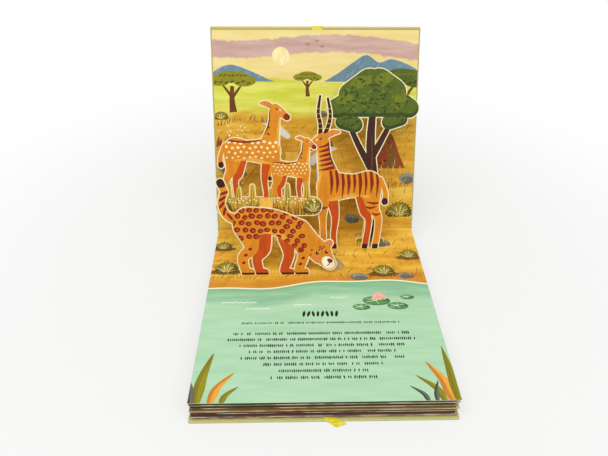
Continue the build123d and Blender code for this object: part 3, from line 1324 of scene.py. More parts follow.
@dataclass(frozen=True)
class RepeatPrint:
    """A flat shape that is printed many times on one plane, with random turn, scale and tone."""

    way: PrintWay
    shape: Loop
    spacing: float
    inks: tuple[Ink, Ink]
    seed: int
    scale: Point = (0.7, 1.2)
    turn: float = 0.4
    share: float = 1.0
    low: float = 0.01
    high: float = 0.06

    def build(self, name: str, guides: Sequence[Loop], plane: PrintPlane, finish: Material) -> Object:
        """Prints the shape and turns the result into a plain mesh.

        Args:
            name: The piece's name.
            guides: Patches or rows to print on, in millimetres.
            plane: The side that carries the print.
            finish: The ink's finish.

        Returns:
            The new object, in place.
        """
        art = Artwork()
        art.add([self.shape], self.inks[0], "shape")
        chip = art.layout("shape").solid(name + "_shape", self.low, self.high, None)
        shape = mesh_object(name + "_shape", chip, None)
        tree = PrintTree(name + "_tree", {
            "Shape": shape, "Spacing": self.spacing * MM, "Share": self.share, "Least Scale": self.scale[0],
            "Most Scale": self.scale[1], "Turn": self.turn, "First Ink": self.inks[0].linear(),
            "Second Ink": self.inks[1].linear(), "Seed": self.seed, "Finish": finish,
        })
        tree.print_on(tree.patches() if self.way is PrintWay.PATCHES else tree.rows())
        mesh = tree.run(name, self._guide(name, guides))
        bpy.data.objects.remove(shape)
        mesh.transform(plane.matrix())
        return mesh_object(name, mesh, finish)

    def _guide(self, name: str, guides: Sequence[Loop]) -> Mesh:
        """Makes the patches as faces or the rows as edges.

        Args:
            name: The piece's name.
            guides: Patches or rows, in millimetres.

        Returns:
            The mesh, flat in X and Y, in metres.
        """
        points, edges, faces = [], [], []
        for loop in guides:
            places = list(range(len(points), len(points) + len(loop)))
            points += [(x * MM, y * MM, 0.0) for x, y in loop]
            if self.way is PrintWay.PATCHES:
                faces.append(places)
            else:
                edges += list(zip(places, places[1:]))
        mesh = bpy.data.meshes.new(name + "_guide")
        mesh.from_pydata(points, edges, faces)
        return mesh


@dataclass
class LeafBlock:
    """Block of leaves that fan apart from the fold, with slightly wavy fore edges."""

    spread: Spread
    count: int = 8
    card: float = 1.1
    pitch: float = 2.05
    board: float = 2.0
    top_gap: float = 2.0
    stagger: float = 1.6
    stagger_turn: float = 1.9
    slope: float = 2.8
    fold: float = 14.0
    wave: float = 0.42
    cuts: tuple[int, int, int] = (72, 40, 2)
    ripples: Trio = (11.0, 4.0, 1.7)

    def build(self) -> None:
        """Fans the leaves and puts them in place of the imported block."""
        finish = LeafEdges(self.count).material()
        tree = FormTree("leaf_fan", {
            "Size": Vector((self.spread.width * MM, self.spread.depth * MM, self.card * MM)),
            "Count": self.count, "Pitch": self.pitch * MM, "Bottom": self.board * MM,
            "Gutter": self.spread.gutter.y, "Fold": self.fold * MM, "Top Gap": self.top_gap * MM,
            "Stagger": self.stagger * MM, "Turn": self.stagger_turn, "Slope": self.slope * MM,
            "Wave": self.wave * MM, "Finish": finish,
        })
        self._fan(tree)
        mesh = tree.run("leaf_block", bpy.data.meshes.new("leaf_guide"))
        add_piece(mesh_object("leaf_block", mesh, finish), LOWER_BODY, "leaf_card", "page_block")

    def _fan(self, tree: FormTree) -> None:
        """Builds the nodes that stack the leaves and fan them apart.

        Args:
            tree: The tree that the nodes go into.
        """
        given = tree.given
        pitch = given["Pitch"]
        cuts = dict(zip(("Vertices X", "Vertices Y", "Vertices Z"), self.cuts))
        form = tree.take("GeometryNodeMeshCube", {}, {"Size": given["Size"], **cuts}, "Mesh")
        sockets = {"Count": given["Count"], "Offset": tree.vector(0.0, 0.0, pitch)}
        line = tree.take("GeometryNodeMeshLine", {}, sockets)
        numbered = tree.store(line, LEAF_ATTRIBUTE, "FLOAT", tree.take("GeometryNodeInputIndex", {}, {}))
        stack = tree.take("GeometryNodeInstanceOnPoints", {}, {"Points": numbered, "Instance": form})
        whole = tree.take("GeometryNodeRealizeInstances", {}, {0: stack})
        leaf = tree.take("GeometryNodeInputNamedAttribute", {"data_type": "FLOAT"}, {"Name": LEAF_ATTRIBUTE})
        across, along, rise = tree.parts(tree.take("GeometryNodeInputPosition", {}, {}))
        width, depth, card = tree.parts(given["Size"])
        # Shares from the fold, where the leaves touch, to the fore edge, where they lie apart.
        back = 0.5 + along / depth
        fold = given["Fold"] / depth
        open_share = (fold - (1.0 - back)) / (fold - 1.0)
        shut_share = 1.0 - open_share.most(0.0)
        middle = leaf * pitch
        thick = (pitch / card - 1.0) * shut_share + 1.0
        last = leaf.step(self.count - 1.5, self.count - 1.2)
        top = ((rise - middle) / card + 0.5).step(0.4, 0.6)
        lift = given["Top Gap"] * last * top * shut_share
        spot = tree.vector(across * self.ripples[0], along * self.ripples[1], leaf * self.ripples[2])
        ripple = (tree.noise(spot, 1.0, 2.0, 0.4) - 0.5) * given["Wave"] * open_share.step(0.0, 1.0) * 2.0
        step = given["Stagger"] * (1.0 - (leaf * given["Turn"]).sine()) * 0.5
        reach = given["Slope"] * (1.0 - leaf / (self.count - 1.0))
        new_x = across * (1.0 - step * 2.0 / width)
        new_y = given["Gutter"] - (1.0 - back) * (depth - step + reach)
        new_z = given["Bottom"] + middle + (rise - middle) * thick + pitch * 0.5 + lift + ripple
        rim = (across.size() * 2.0 / width).most(along * -2.0 / depth)
        rimmed = tree.store(whole, RIM_ATTRIBUTE, "FLOAT", rim)
        sockets = {"Geometry": rimmed, "Position": tree.vector(new_x, new_y, new_z)}
        tree.close(tree.take("GeometryNodeSetPosition", {}, sockets))


@dataclass
class HardCase:
    """Cover boards and spine, and the paper hinges between them."""

    spread: Spread
    nodes: dict[str, Object]
    lower_tint: Tint = (190, 186, 110)
    upper_tint: Tint = (188, 176, 98)
    lower_lip_highlight: float = 0.0
    upper_lip_highlight: float = 0.45
    board: float = 2.0
    half_width: float = 101.6
    front_lip: float = 4.5
    upper_lip: float = 3.4
    page_card: float = 0.5
    backing_card: float = 0.4
    spine_gap: float = 1.5
    spine_drop: float = 0.3
    board_start: float = 7.0
    wrap: float = 0.4
    lap: float = 4.0
    steps: int = 24
    bend_steps: int = 9
    columns: int = 12

    def build(self) -> None:
        """Dresses the boards and makes the bent hinge paper."""
        front = Vector((0, -1, 0))
        lower = self._paper("cover_paper", self.lower_tint, front, self.front_lip, self.lower_lip_highlight)
        up = self.spread.page_up
        upper = self._paper("upper_cover_paper", self.upper_tint, up, self.upper_lip, self.upper_lip_highlight)
        for name in ("lower_cover", "lower_joint", "spine"):
            dress_node(self.nodes[name], lower)
        dress_node(self.nodes["upper_cover"], upper)
        line = self._hinge_line()
        rows = straight_rows(line, 2 * self.half_width, self.columns)
        hinge = mesh_object("hinge_paper", cloth_mesh("hinge_paper", rows, self.wrap), lower)
        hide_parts("upper_joint")
        line[2 + self.bend_steps]
        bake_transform(hinge)
        LOG.info("%s: bends between %s and %s", hinge.name, LOWER_BODY, UPPER_BODY)

    def _paper(self, name: str, tint: Tint, run: Vector, lip: float, rim: float) -> Material:
        """The finish of one cover, which runs from the gutter and stands out past the page by a lip."""
        gutter, page = self.spread.gutter, self.spread.depth
        return CoverPaper(name, tint, self.half_width, gutter, run, page, lip, rim).material()

    def _hinge_line(self) -> list[Vector]:
        """Middle line of the hinge paper, from the spine's back to the upper board's back.

        Returns:
            Places along the line: two on the spine, the bend, and two on the board.
        """
        plane = self.spread.upper()
        rise = Vector((0, 0, 1)) * MM
        half = self.wrap / 2
        turn = self.spread.gutter + Vector((0, self.spine_gap + self.board + half, -self.spine_drop)) * MM
        back = -(self.page_card + self.backing_card + self.board + half)
        crease = plane.at(0, self.board_start, back)
        pull = (crease - turn).length
        line = [turn - rise * self.lap, turn - rise * self.lap / 2]
        for i in range(self.steps + 1):
            t = i / self.steps
            line.append(
                turn * (2 * t ** 3 - 3 * t * t + 1) + Vector((0, 0, pull)) * (t ** 3 - 2 * t * t + t)
                + crease * (3 * t * t - 2 * t ** 3) + plane.up * pull * (t ** 3 - t * t)
            )
        return line + [plane.at(0, self.board_start + self.lap * share, back) for share in (0.5, 1.0)]


@dataclass
class RibbonEnds:
    """Satin ribbon ends at the two fore edges."""

    spread: Spread
    width: float = 10.0
    cloth: float = 0.35
    columns: int = 10
    front_width: float = 8.1
    front_place: float = -0.7
    front_slant: float = 1.31
    front_run: float = 0.95
    front_skew: float = 2.7
    front_reach: float = 6.85
    front_edge: float = 4.35
    front_steps: int = 24
    front_hidden: float = 0.25
    front_points: Row = (
        (-93.3, 2.19), (-94.8, 2.20), (-96.4, 2.22), (-97.5, 2.20), (-97.95, 1.75), (-98.06, 1.05),
        (-98.5, 0.42), (-99.4, 0.24), (-100.8, 0.22), (-102.2, 0.27), (-104.0, 0.30),
    )
    top_place: float = 1.3
    top_points: Row = (
        (194.4, -0.72), (197.2, -0.70), (198.46, -0.95), (198.66, -1.90), (198.46, -2.85), (197.2, -3.08),
        (191.0, -3.12), (183.0, -3.22), (175.0, -3.14), (168.6, -3.20),
    )

    def build(self) -> None:
        """Makes both ribbon ends."""
        finish = SatinRibbon(width=self.width).material()
        plane = self.spread.upper()
        line = [plane.at(self.top_place, up, out) for up, out in smooth_line(self.top_points, 4)]
        top_rows = straight_rows(line, self.width, self.columns)
        self._lay("front_ribbon", LOWER_BODY, self._front_rows(), "lower_cover", finish)
        self._lay("top_ribbon", UPPER_BODY, top_rows, "upper_cover", finish)

    def _lay(self, node: str, body: str, rows: list[list[Vector]], rests: str, finish: Material) -> None:
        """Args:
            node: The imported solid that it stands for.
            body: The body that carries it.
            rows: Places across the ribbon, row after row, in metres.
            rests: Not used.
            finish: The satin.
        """
        name = node + "_satin"
        made = mesh_object(name, cloth_mesh(name, rows, self.cloth), finish)
        add_piece(made, body, "satin_ribbon", node)
        middle = [row[self.columns // 2] for row in rows]
        length = sum((far - near).length for near, far in zip(middle, middle[1:]))
        self.width * MM

    def _front_rows(self) -> list[list[Vector]]:
        """Rows of the front end, which turns aside and then bends over the board's edge.

        Returns:
            Places across the ribbon, row after row, in metres.
        """
        line = [Vector((0, *point)) for point in smooth_line(self.front_points, 6)]
        runs = [0.0]
        for near, far in zip(line, line[1:]):
            runs.append(runs[-1] + (far - near).length)
        rows = []
        for i in range(self.front_steps + 1):
            along = (i / self.front_steps) * (1 + self.front_hidden) - self.front_hidden
            past = max(along, 0.0) * self.front_reach
            row = []
            for k in range(self.columns + 1):
                share = k / self.columns
                turn = self.front_edge - self.front_run - self.front_skew * share
                run = turn * (1 + along / self.front_hidden) if along < 0 else turn + past
                aside = self.front_place + self.front_width * share + past * self.front_slant
                row.append((self._on_line(line, runs, run) + Vector((aside, 0, 0))) * MM)
            rows.append(row)
        return rows

    @staticmethod
    def _on_line(line: Sequence[Vector], runs: Sequence[float], run: float) -> Vector:
        """The place on a line at a run from its start."""
        i = max(k for k in range(len(runs) - 1) if k == 0 or runs[k] <= run)
        return line[i].lerp(line[i + 1], (run - runs[i]) / (runs[i + 1] - runs[i]))


@dataclass
class CardFigure:
    """A die-cut card that stands on the spread, with its struts and glued feet."""

    spread: Spread
    name: str
    node: str
    depth: float
    card: float = 0.5
    border: float = 1.4
    glue: float = 0.15
    strut_width: float = 13.0
    tab_width: float = 9.0
    tab_depth: float = 7.0
    keep: float = 0.001
    art: Artwork = field(default_factory=Artwork)
    boxes: list[tuple[Vector, Vector]] = field(default_factory=list)

    def plane(self) -> PrintPlane:
        """The card's back."""
        return self.spread.standing(self.depth)

    def die_cut(self, loops: Iterable[Loop], standing: bool = True) -> None:
        """Adds card with a cream border, cut off at the foot line where it stands on the page."""
        floor = 0.0 if standing else -self.spread.depth
        self.art.add([[(x, max(y, floor)) for x, y in loop] for loop in loops], Ink.CREAM, "card")

    def strut(self, reach: float, across: float, up: float) -> None:
        """Adds a level strut from the figure back to the card that it is glued to.

        Args:
            reach: Distance to that card in millimetres.
            across: The strut's place across.
            up: Its place up the figure.
        """
        rise = up * self.spread.page_up.z
        run = rise * self.spread.page_up.y / self.spread.page_up.z - self.depth
        front = run - self.card / 2
        back = run + reach - self.glue
        middle = Vector((across, (front + back) / 2, rise + self.card / 2))
        self.boxes.append((middle, Vector((self.strut_width, back - front, self.card))))

    def tab(self, across: float) -> None:
        """Adds a glued foot behind the figure's foot line.

        Args:
            across: The foot's place across.
        """
        lean = self.spread.page_up.y / self.spread.page_up.z
        middle = Vector((across, -self.depth - self.card / 2 * lean + self.tab_depth / 2, self.card / 2))
        self.boxes.append((middle, Vector((self.tab_width, self.tab_depth, self.card))))

    def build(self, finish: Material) -> None:
        """Makes the card with its print, struts and feet as one mesh.

        Args:
            finish: The ink's finish.
        """
        mesh = self.art.layout("card").solid(self.name, 0.0, self.card, Ink.BLANK)
        mesh.transform(self.plane().matrix())
        made = bmesh.new()
        made.from_mesh(mesh)
        paint = made.loops.layers.float_color[INK_ATTRIBUTE]
        for middle, size in self.boxes:
            place = Matrix.Translation(self.spread.gutter + middle * MM) @ Matrix.Diagonal((*(size * MM), 1))
            grown = bmesh.ops.create_cube(made, size=1.0, matrix=place)["verts"]
            for face in {face for vertex in grown for face in vertex.link_faces}:
                paint_face(face, paint, (Ink.STRAW if face.normal.z > 0.5 else Ink.BLANK).linear())
        made.to_mesh(mesh)
        made.free()
        self.fold(mesh_object(self.name, mesh, finish), self.node)

    def dot(self, name: str, dots: RepeatPrint, patches: Sequence[Loop], finish: Material) -> None:
        """Prints a repeated shape on the card's front, as a piece of its own on the lower half."""
        self.fold(dots.build(name, patches, self.plane(), finish))

    def fold(self, piece: Object, *nodes: str) -> None:
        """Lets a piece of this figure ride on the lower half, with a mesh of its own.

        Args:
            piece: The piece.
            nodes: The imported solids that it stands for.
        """
        add_piece(piece, LOWER_BODY, "figure_card", *nodes)
        plane = self.plane()
        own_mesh(piece)


class Coat(Enum):
    """Markings of an antelope."""

    STRIPES = "stripes"
    SPOTS = "spots"


@dataclass(frozen=True)
class Antelope:
    """Drawing of an antelope that looks to its left, from chains of round joints as shares of its height."""

    stance: Stance
    coat: Coat
    strut: Point = (0.0, 0.40)
    feet: tuple[float, ...] = (-0.113, 0.135)
    head: Limbs = (
        ((-0.115, 0.455, 0.066), (-0.150, 0.585, 0.041), (-0.158, 0.690, 0.034)),
        ((-0.165, 0.712, 0.036), (-0.205, 0.688, 0.027), (-0.250, 0.655, 0.019)),
        ((-0.145, 0.728, 0.013), (-0.098, 0.752, 0.015), (-0.060, 0.755, 0.005)),
    )
    horns: Limbs = (
        ((-0.150, 0.740, 0.011), (-0.126, 0.800, 0.009), (-0.116, 0.870, 0.007), (-0.132, 0.960, 0.004)),
        ((-0.178, 0.742, 0.011), (-0.178, 0.805, 0.009), (-0.192, 0.875, 0.007), (-0.180, 0.975, 0.004)),
    )
    trunk: Limbs = (((-0.105, 0.410, 0.092), (0.030, 0.415, 0.070), (0.135, 0.425, 0.082)),)
    near_legs: Limbs = (
        ((-0.150, 0.375, 0.042), (-0.160, 0.225, 0.020), (-0.158, 0.150, 0.015), (-0.152, 0.008, 0.016)),
        ((0.150, 0.395, 0.066), (0.166, 0.275, 0.036), (0.206, 0.190, 0.018), (0.186, 0.008, 0.016)),
    )
    far_legs: Limbs = (
        ((-0.105, 0.350, 0.040), (-0.078, 0.215, 0.020), (-0.088, 0.100, 0.014), (-0.084, 0.008, 0.016)),
        ((0.105, 0.360, 0.050), (0.115, 0.250, 0.030), (0.142, 0.185, 0.017), (0.118, 0.008, 0.016)),
    )
    tail: Limbs = (((0.210, 0.455, 0.014), (0.245, 0.375, 0.011), (0.243, 0.310, 0.018)),)
    tail_tip: Mark = Dab(Ink.UMBER, (0.022, 0.030), ((0.243, 0.306),))
    hooves: Point = (-0.05, 0.030)
    lights: tuple[Mark, ...] = (
        Brush(Ink.HONEY, (0.004, 0.05, 0.004), ((-0.13, 0.322), (0.02, 0.342), (0.15, 0.345))),
        Brush(Ink.HONEY, (0.004, 0.05, 0.01), ((-0.190, 0.63), (-0.190, 0.50), (-0.200, 0.38))),
    )
    flank_stripes: int = 9
    neck_stripes: int = 6
    stripe_pitch: float = 0.037
    stripe_width: float = 0.021
    leg_stripes: tuple[Trio, ...] = (
        (0.172, 0.30, 0.05), (0.150, 0.27, 0.04), (0.190, 0.225, 0.03), (-0.156, 0.27, 0.035),
    )
    spot_rows: int = 4
    row_spots: int = 9
    back: Mark = Brush(Ink.CHESTNUT, (0.006, 0.016, 0.010), ((-0.05, 0.492), (0.06, 0.478), (0.20, 0.492)))
    neck_dashes: Trio = (0.54, 0.59, 0.64)
    mane: Mark = Brush(
        Ink.UMBER, (0.014, 0.026, 0.018, 0.004),
        ((-0.120, 0.735), (-0.104, 0.600), (-0.060, 0.520), (-0.020, 0.492)),
    )
    tufts: tuple[float, ...] = (0.15, 0.35, 0.55, 0.75)
    horn_rings: int = 5
    horn_ring: Point = (0.775, 0.781)
    horn_pitch: float = 0.030
    inner_ear: Mark = Brush(
        Ink.ROSE, (0.006, 0.013, 0.003), ((-0.138, 0.732), (-0.098, 0.752), (-0.070, 0.755)),
    )
    face: tuple[Mark, ...] = (
        Dab(Ink.CHESTNUT, (0.030, 0.026), ((-0.252, 0.655),), 0.6),
        Dab(Ink.UMBER, (0.0055, 0.0040), ((-0.262, 0.664),)),
        Dab(Ink.ROSE, (0.017, 0.010), ((-0.198, 0.676),), 0.5),
        Brush(Ink.CREAM, (0.010, 0.004), ((-0.196, 0.712), (-0.206, 0.700))),
        Dab(Ink.UMBER, (0.0075, 0.0090), ((-0.176, 0.716),)),
        Dab(Ink.PALE, (0.0022, 0.0026), ((-0.178, 0.719),)),
    )

    def outline(self) -> Limbs:
        """All chains of the animal; only the striped one has horns."""
        limbs = self.trunk + self.near_legs + self.far_legs + self.tail + self.head
        return limbs + self.horns if self.coat is Coat.STRIPES else limbs

    def draw(self, art: Artwork) -> None:
        """Prints the animal over its card.

        Args:
            art: The card's print.
        """
        at = self.stance
        striped = self.coat is Coat.STRIPES
        art.add(at.chains(self.far_legs), Ink.RUST, "far")
        art.add(at.chains(self.tail), Ink.AMBER, "tail")
        art.mark(at, [self.tail_tip], "tail")
        art.add(at.chains(self.trunk + self.near_legs + self.head[:1]), Ink.AMBER, "coat")
        coat = self._stripes() if striped else self._spots()
        art.mark(at, [*self.lights, *coat, self.mane, *self._tufts()], "coat")
        for part in ("coat", "far"):
            art.add([at.band(*self.hooves)], Ink.UMBER, "", part)
        if striped:
            art.add(at.chains(self.horns), Ink.UMBER, "horn")
            rings = [[edge + self.horn_pitch * i for edge in self.horn_ring] for i in range(self.horn_rings)]
            art.add([at.band(*ring) for ring in rings], Ink.OCHRE, "", "horn")
        art.add(at.chains(self.head[2:]), Ink.AMBER, "ear")
        art.mark(at, [self.inner_ear], "ear")
        art.add(at.chains(self.head[1:2]), Ink.AMBER, "head")
        art.mark(at, self.face, "head")

    def _stripes(self) -> list[Mark]:
        """Stripes of the flank, the neck and the legs.

        Returns:
            The stripes.
        """
        marks = []
        for i in range(self.flank_stripes):
            x = -0.112 + self.stripe_pitch * i
            line = ((x, 0.515), (x + 0.010, 0.435), (x + 0.004, 0.350 + 0.018 * sin(2.1 * i)))
            width = self.stripe_width * (1 + 0.18 * sin(3.0 * i))
            marks.append(Brush(Ink.CHESTNUT, (width * 0.7, width, width * 0.1), line))
        for i in range(self.neck_stripes):
            y = 0.535 + 0.029 * i
            line = ((-0.088 - 0.007 * i, y), (-0.140 - 0.004 * i, y - 0.012), (-0.188, y - 0.020))
            marks.append(Brush(Ink.CHESTNUT, (0.024, 0.016, 0.002), line))
        for x, y, run in self.leg_stripes:
            line = ((x - run, y + 0.012), (x, y), (x + run, y + 0.010))
            marks.append(Brush(Ink.CHESTNUT, (0.004, 0.016, 0.004), line))
        return marks

    def _spots(self) -> list[Mark]:
        """Spots of the flank, the dark back and dashes of the neck.

        Returns:
            The marks.
        """
        marks = []
        for row in range(self.spot_rows):
            size = 0.0105 - 0.001 * row
            for i in range(self.row_spots):
                x = -0.165 + 0.043 * i + 0.020 * (row % 2)
                y = 0.475 - 0.036 * row + 0.006 * sin(4.0 * i + row)
                marks.append(Dab(Ink.CREAM, (size * 1.15, size), ((x, y),)))
        marks.append(self.back)
        for y in self.neck_dashes:
            marks.append(Brush(Ink.CHESTNUT, (0.016, 0.003), ((-0.100, y), (-0.128, y - 0.010))))
        return marks

    def _tufts(self) -> list[Mark]:
        """Short hairs along the mane.

        Returns:
            The hairs.
        """
        marks = []
        for share in self.tufts:
            root = (-0.118 + 0.04 * share, 0.70 - 0.15 * share)
            tip = (-0.136 + 0.05 * share, 0.682 - 0.15 * share)
            marks.append(Brush(Ink.UMBER, (0.010, 0.002), (root, tip)))
        return marks


@dataclass(frozen=True)
class SpottedCat:
    """Drawing of a spotted cat that bends to drink, from chains as shares of its length."""

    stance: Stance
    strut: Point = (-0.150, 0.50)
    feet: tuple[float, ...] = (0.135, -0.255)
    trunk: Limbs = (((-0.300, 0.480, 0.125), (-0.080, 0.480, 0.105), (0.120, 0.385, 0.118)),)
    near_legs: Limbs = (
        ((0.130, 0.330, 0.070), (0.190, 0.190, 0.045), (0.145, 0.035, 0.036), (0.205, 0.022, 0.028)),
        ((-0.320, 0.450, 0.110), (-0.270, 0.250, 0.055), (-0.350, 0.160, 0.042), (-0.330, 0.030, 0.035)),
        ((-0.330, 0.025, 0.035), (-0.280, 0.020, 0.028)),
    )
    far_legs: Limbs = (
        ((0.030, 0.330, 0.065), (0.060, 0.180, 0.042), (0.015, 0.035, 0.034), (0.075, 0.022, 0.027)),
        ((-0.200, 0.430, 0.100), (-0.160, 0.240, 0.050), (-0.225, 0.150, 0.038), (-0.205, 0.030, 0.033)),
        ((-0.205, 0.025, 0.033), (-0.155, 0.020, 0.028)),
    )
    tail: Limbs = (
        ((-0.395, 0.500, 0.042), (-0.480, 0.540, 0.032), (-0.525, 0.640, 0.027), (-0.495, 0.745, 0.026)),
        ((-0.495, 0.745, 0.026), (-0.530, 0.825, 0.030)),
    )
    head: Limbs = (
        ((0.140, 0.390, 0.110), (0.240, 0.290, 0.092), (0.345, 0.190, 0.090)),
        ((0.375, 0.150, 0.066), (0.425, 0.095, 0.048)),
        ((0.268, 0.262, 0.034), (0.266, 0.298, 0.028)),
        ((0.395, 0.262, 0.034), (0.418, 0.285, 0.026)),
    )
    tail_rings: Row = ((-0.455, 0.528), (-0.500, 0.575), (-0.522, 0.630), (-0.516, 0.685), (-0.500, 0.735))
    tail_bend: Point = (-0.42, 0.56)
    tail_tip: Mark = Dab(Ink.UMBER, (0.05, 0.045), ((-0.525, 0.825),))
    inner_ears: Mark = Dab(Ink.ROSE, (0.017, 0.020), ((0.267, 0.292), (0.412, 0.282)))
    belly: Mark = Brush(Ink.HONEY, (0.004, 0.07, 0.004), ((-0.24, 0.36), (-0.06, 0.375), (0.06, 0.30)))
    leg_spots: Mark = Dab(
        Ink.CHESTNUT, (0.018, 0.013),
        ((0.165, 0.215), (0.185, 0.150), (0.160, 0.095), (-0.285, 0.235), (-0.325, 0.180), (-0.345, 0.110)),
        0.4,
    )
    paws: Point = (-0.05, 0.018)
    muzzle: tuple[Mark, ...] = (
        Dab(Ink.PALE, (0.066, 0.050), ((0.408, 0.108),), -0.7),
        Dab(Ink.CHESTNUT, (0.026, 0.018), ((0.424, 0.124),), -0.5),
        Brush(Ink.UMBER, (0.008, 0.007, 0.003), ((0.420, 0.108), (0.412, 0.086), (0.392, 0.078))),
    )
    eyes: Row = ((0.310, 0.196), (0.392, 0.204))
    cheek: Mark = Dab(Ink.ROSE, (0.022, 0.013), ((0.305, 0.150),))
    brow: Mark = Dab(
        Ink.CHESTNUT, (0.010, 0.008),
        ((0.335, 0.252), (0.352, 0.236), (0.330, 0.226), (0.368, 0.252), (0.262, 0.222), (0.250, 0.180)),
        0.5,
    )
    spot_rows: int = 5
    row_spots: int = 12
    shoulder: float = 0.20
    jitter: float = 0.008
    seed: int = 5

    def outline(self) -> Limbs:
        """All chains of the animal."""
        return self.trunk + self.near_legs + self.far_legs + self.tail + self.head

    def draw(self, art: Artwork) -> None:
        """Prints the animal over its card.

        Args:
            art: The card's print.
        """
        at = self.stance
        art.add(at.chains(self.far_legs), Ink.RUST, "far")
        art.add(at.chains(self.tail), Ink.AMBER, "tail")
        art.mark(at, [*self._rings(), self.tail_tip], "tail")
        art.add(at.chains(self.head[2:]), Ink.AMBER, "ear")
        art.mark(at, [self.inner_ears], "ear")
        art.add(at.chains(self.trunk + self.near_legs + self.head[:2]), Ink.AMBER, "coat")
        art.mark(at, [self.belly, *self._rosettes(), self.leg_spots], "coat")
        for part in ("coat", "far"):
            art.add([at.band(*self.paws)], Ink.UMBER, "", part)
        art.mark(at, [*self.muzzle, *self._eyes(), self.cheek, self.brow], "coat")

    def _rings(self) -> list[Mark]:
        """Rings of the tail, square to its bend.

        Returns:
            The rings.
        """
        marks = []
        for x, y in self.tail_rings:
            turn = atan2(y - self.tail_bend[1], x - self.tail_bend[0]) + 1.5
            marks.append(Dab(Ink.CHESTNUT, (0.040, 0.013), ((x, y),), turn))
        return marks

    def _rosettes(self) -> list[Mark]:
        """Spots with a paler middle, in rows with some chance, as far as the shoulder.

        Returns:
            The spots and their middles.
        """
        chance = random.Random(self.seed)
        marks = []
        for row in range(self.spot_rows):
            for i in range(self.row_spots):
                x = -0.425 + 0.066 * i + 0.033 * (row % 2)
                y = 0.590 - 0.062 * row - max(x, 0.0) * 0.70
                x += chance.uniform(-self.jitter, self.jitter)
                y += chance.uniform(-self.jitter, self.jitter)
                across, up = chance.uniform(0.025, 0.031), chance.uniform(0.020, 0.026)
                turn = chance.uniform(-0.5, 0.5)
                if x < self.shoulder:
                    middle = (x + 0.004, y - 0.002)
                    marks.append(Dab(Ink.CHESTNUT, (across, up), ((x, y),), turn))
                    marks.append(Dab(Ink.RUST, (across * 0.42, up * 0.42), (middle,), turn))
        return marks

    def _eyes(self) -> list[Mark]:
        """Dark eyes, each with a light.

        Returns:
            The eyes and their lights.
        """
        marks = []
        for x, y in self.eyes:
            marks.append(Dab(Ink.UMBER, (0.015, 0.017), ((x, y),)))
            marks.append(Dab(Ink.PALE, (0.004, 0.005), ((x + 0.004, y + 0.006),)))
        return marks


@dataclass(frozen=True)
class FlatTree:
    """Drawing of a flat-topped tree, from chains as shares of its height."""

    stance: Stance
    strut: Point = (0.0, 0.80)
    feet: tuple[float, ...] = (0.0,)
    trunk: Limbs = (
        ((0.000, 0.000, 0.042), (0.014, 0.300, 0.028), (-0.008, 0.560, 0.022), (0.000, 0.740, 0.016)),
        ((-0.010, 0.440, 0.017), (-0.110, 0.630, 0.012), (-0.140, 0.760, 0.009)),
        ((0.004, 0.500, 0.018), (0.080, 0.640, 0.012), (0.130, 0.760, 0.009)),
        ((-0.064, 0.004, 0.013), (0.066, 0.004, 0.013)),
    )
    crown: Limbs = (
        ((-0.205, 0.765, 0.050), (-0.120, 0.800, 0.062)),
        ((-0.120, 0.835, 0.070), (-0.020, 0.895, 0.080)),
        ((0.030, 0.900, 0.076), (0.110, 0.850, 0.072)),
        ((0.130, 0.800, 0.064), (0.205, 0.765, 0.050)),
        ((-0.130, 0.775, 0.055), (0.130, 0.775, 0.055)),
        ((-0.170, 0.690, 0.036), (-0.100, 0.675, 0.042)),
        ((0.095, 0.690, 0.040), (0.160, 0.705, 0.034)),
    )
    low_clump: int = 5
    bark: tuple[Trio, ...] = (
        (-0.018, 0.02, 0.30), (0.010, 0.06, 0.42), (0.024, 0.10, 0.24), (-0.004, 0.34, 0.62),
    )
    moss: Point = (-0.01, 0.020)
    lights: tuple[Trio, ...] = (
        (-0.16, 0.815, 0.050), (-0.07, 0.905, 0.060), (0.06, 0.925, 0.055), (0.16, 0.820, 0.045),
    )
    dabbed: tuple[Patch, ...] = (
        (0.0, 0.815, 0.200, 0.075), (0.0, 0.885, 0.105, 0.050),
        (-0.13, 0.69, 0.05, 0.02), (0.13, 0.70, 0.04, 0.02),
    )

    def outline(self) -> Limbs:
        """All chains of the tree."""
        return self.trunk + self.crown

    def draw(self, art: Artwork) -> None:
        """Prints the tree over its card.

        Args:
            art: The card's print.
        """
        at = self.stance
        art.add(at.chains(self.trunk), Ink.DARK_BARK, "trunk")
        for x, low, high in self.bark:
            line = ((x, low), (x + 0.008, (low + high) / 2), (x, high))
            art.mark(at, [Brush(Ink.BARK, (0.003, 0.010, 0.002), line)], "trunk")
        art.add([at.band(*self.moss)], Ink.OLIVE, "", "trunk")
        for clumps in (self.crown[self.low_clump:], self.crown[:self.low_clump]):
            art.add(at.chains(clumps), Ink.DEEP_LEAF, "crown")
            art.add(at.chains(self._raised(clumps)), Ink.LEAF, "", "crown")
        for x, y, across in self.lights:
            art.mark(at, [Dab(Ink.LIGHT_LEAF, (across, across * 0.55), ((x, y),), 0.2)], "crown")

    @staticmethod
    def _raised(chains: Iterable[Chain], rise: float = 0.016, shrink: float = 0.90) -> list[Chain]:
        """The lit side of some leaf clumps."""
        return [tuple((x, y + rise, radius * shrink) for x, y, radius in chain) for chain in chains]

    def clumps(self) -> list[Loop]:
        """Patches of the crown that carry brush dabs."""
        return [self.stance.oval(*patch) for patch in self.dabbed]


Drawing = Union[Antelope, SpottedCat, FlatTree]


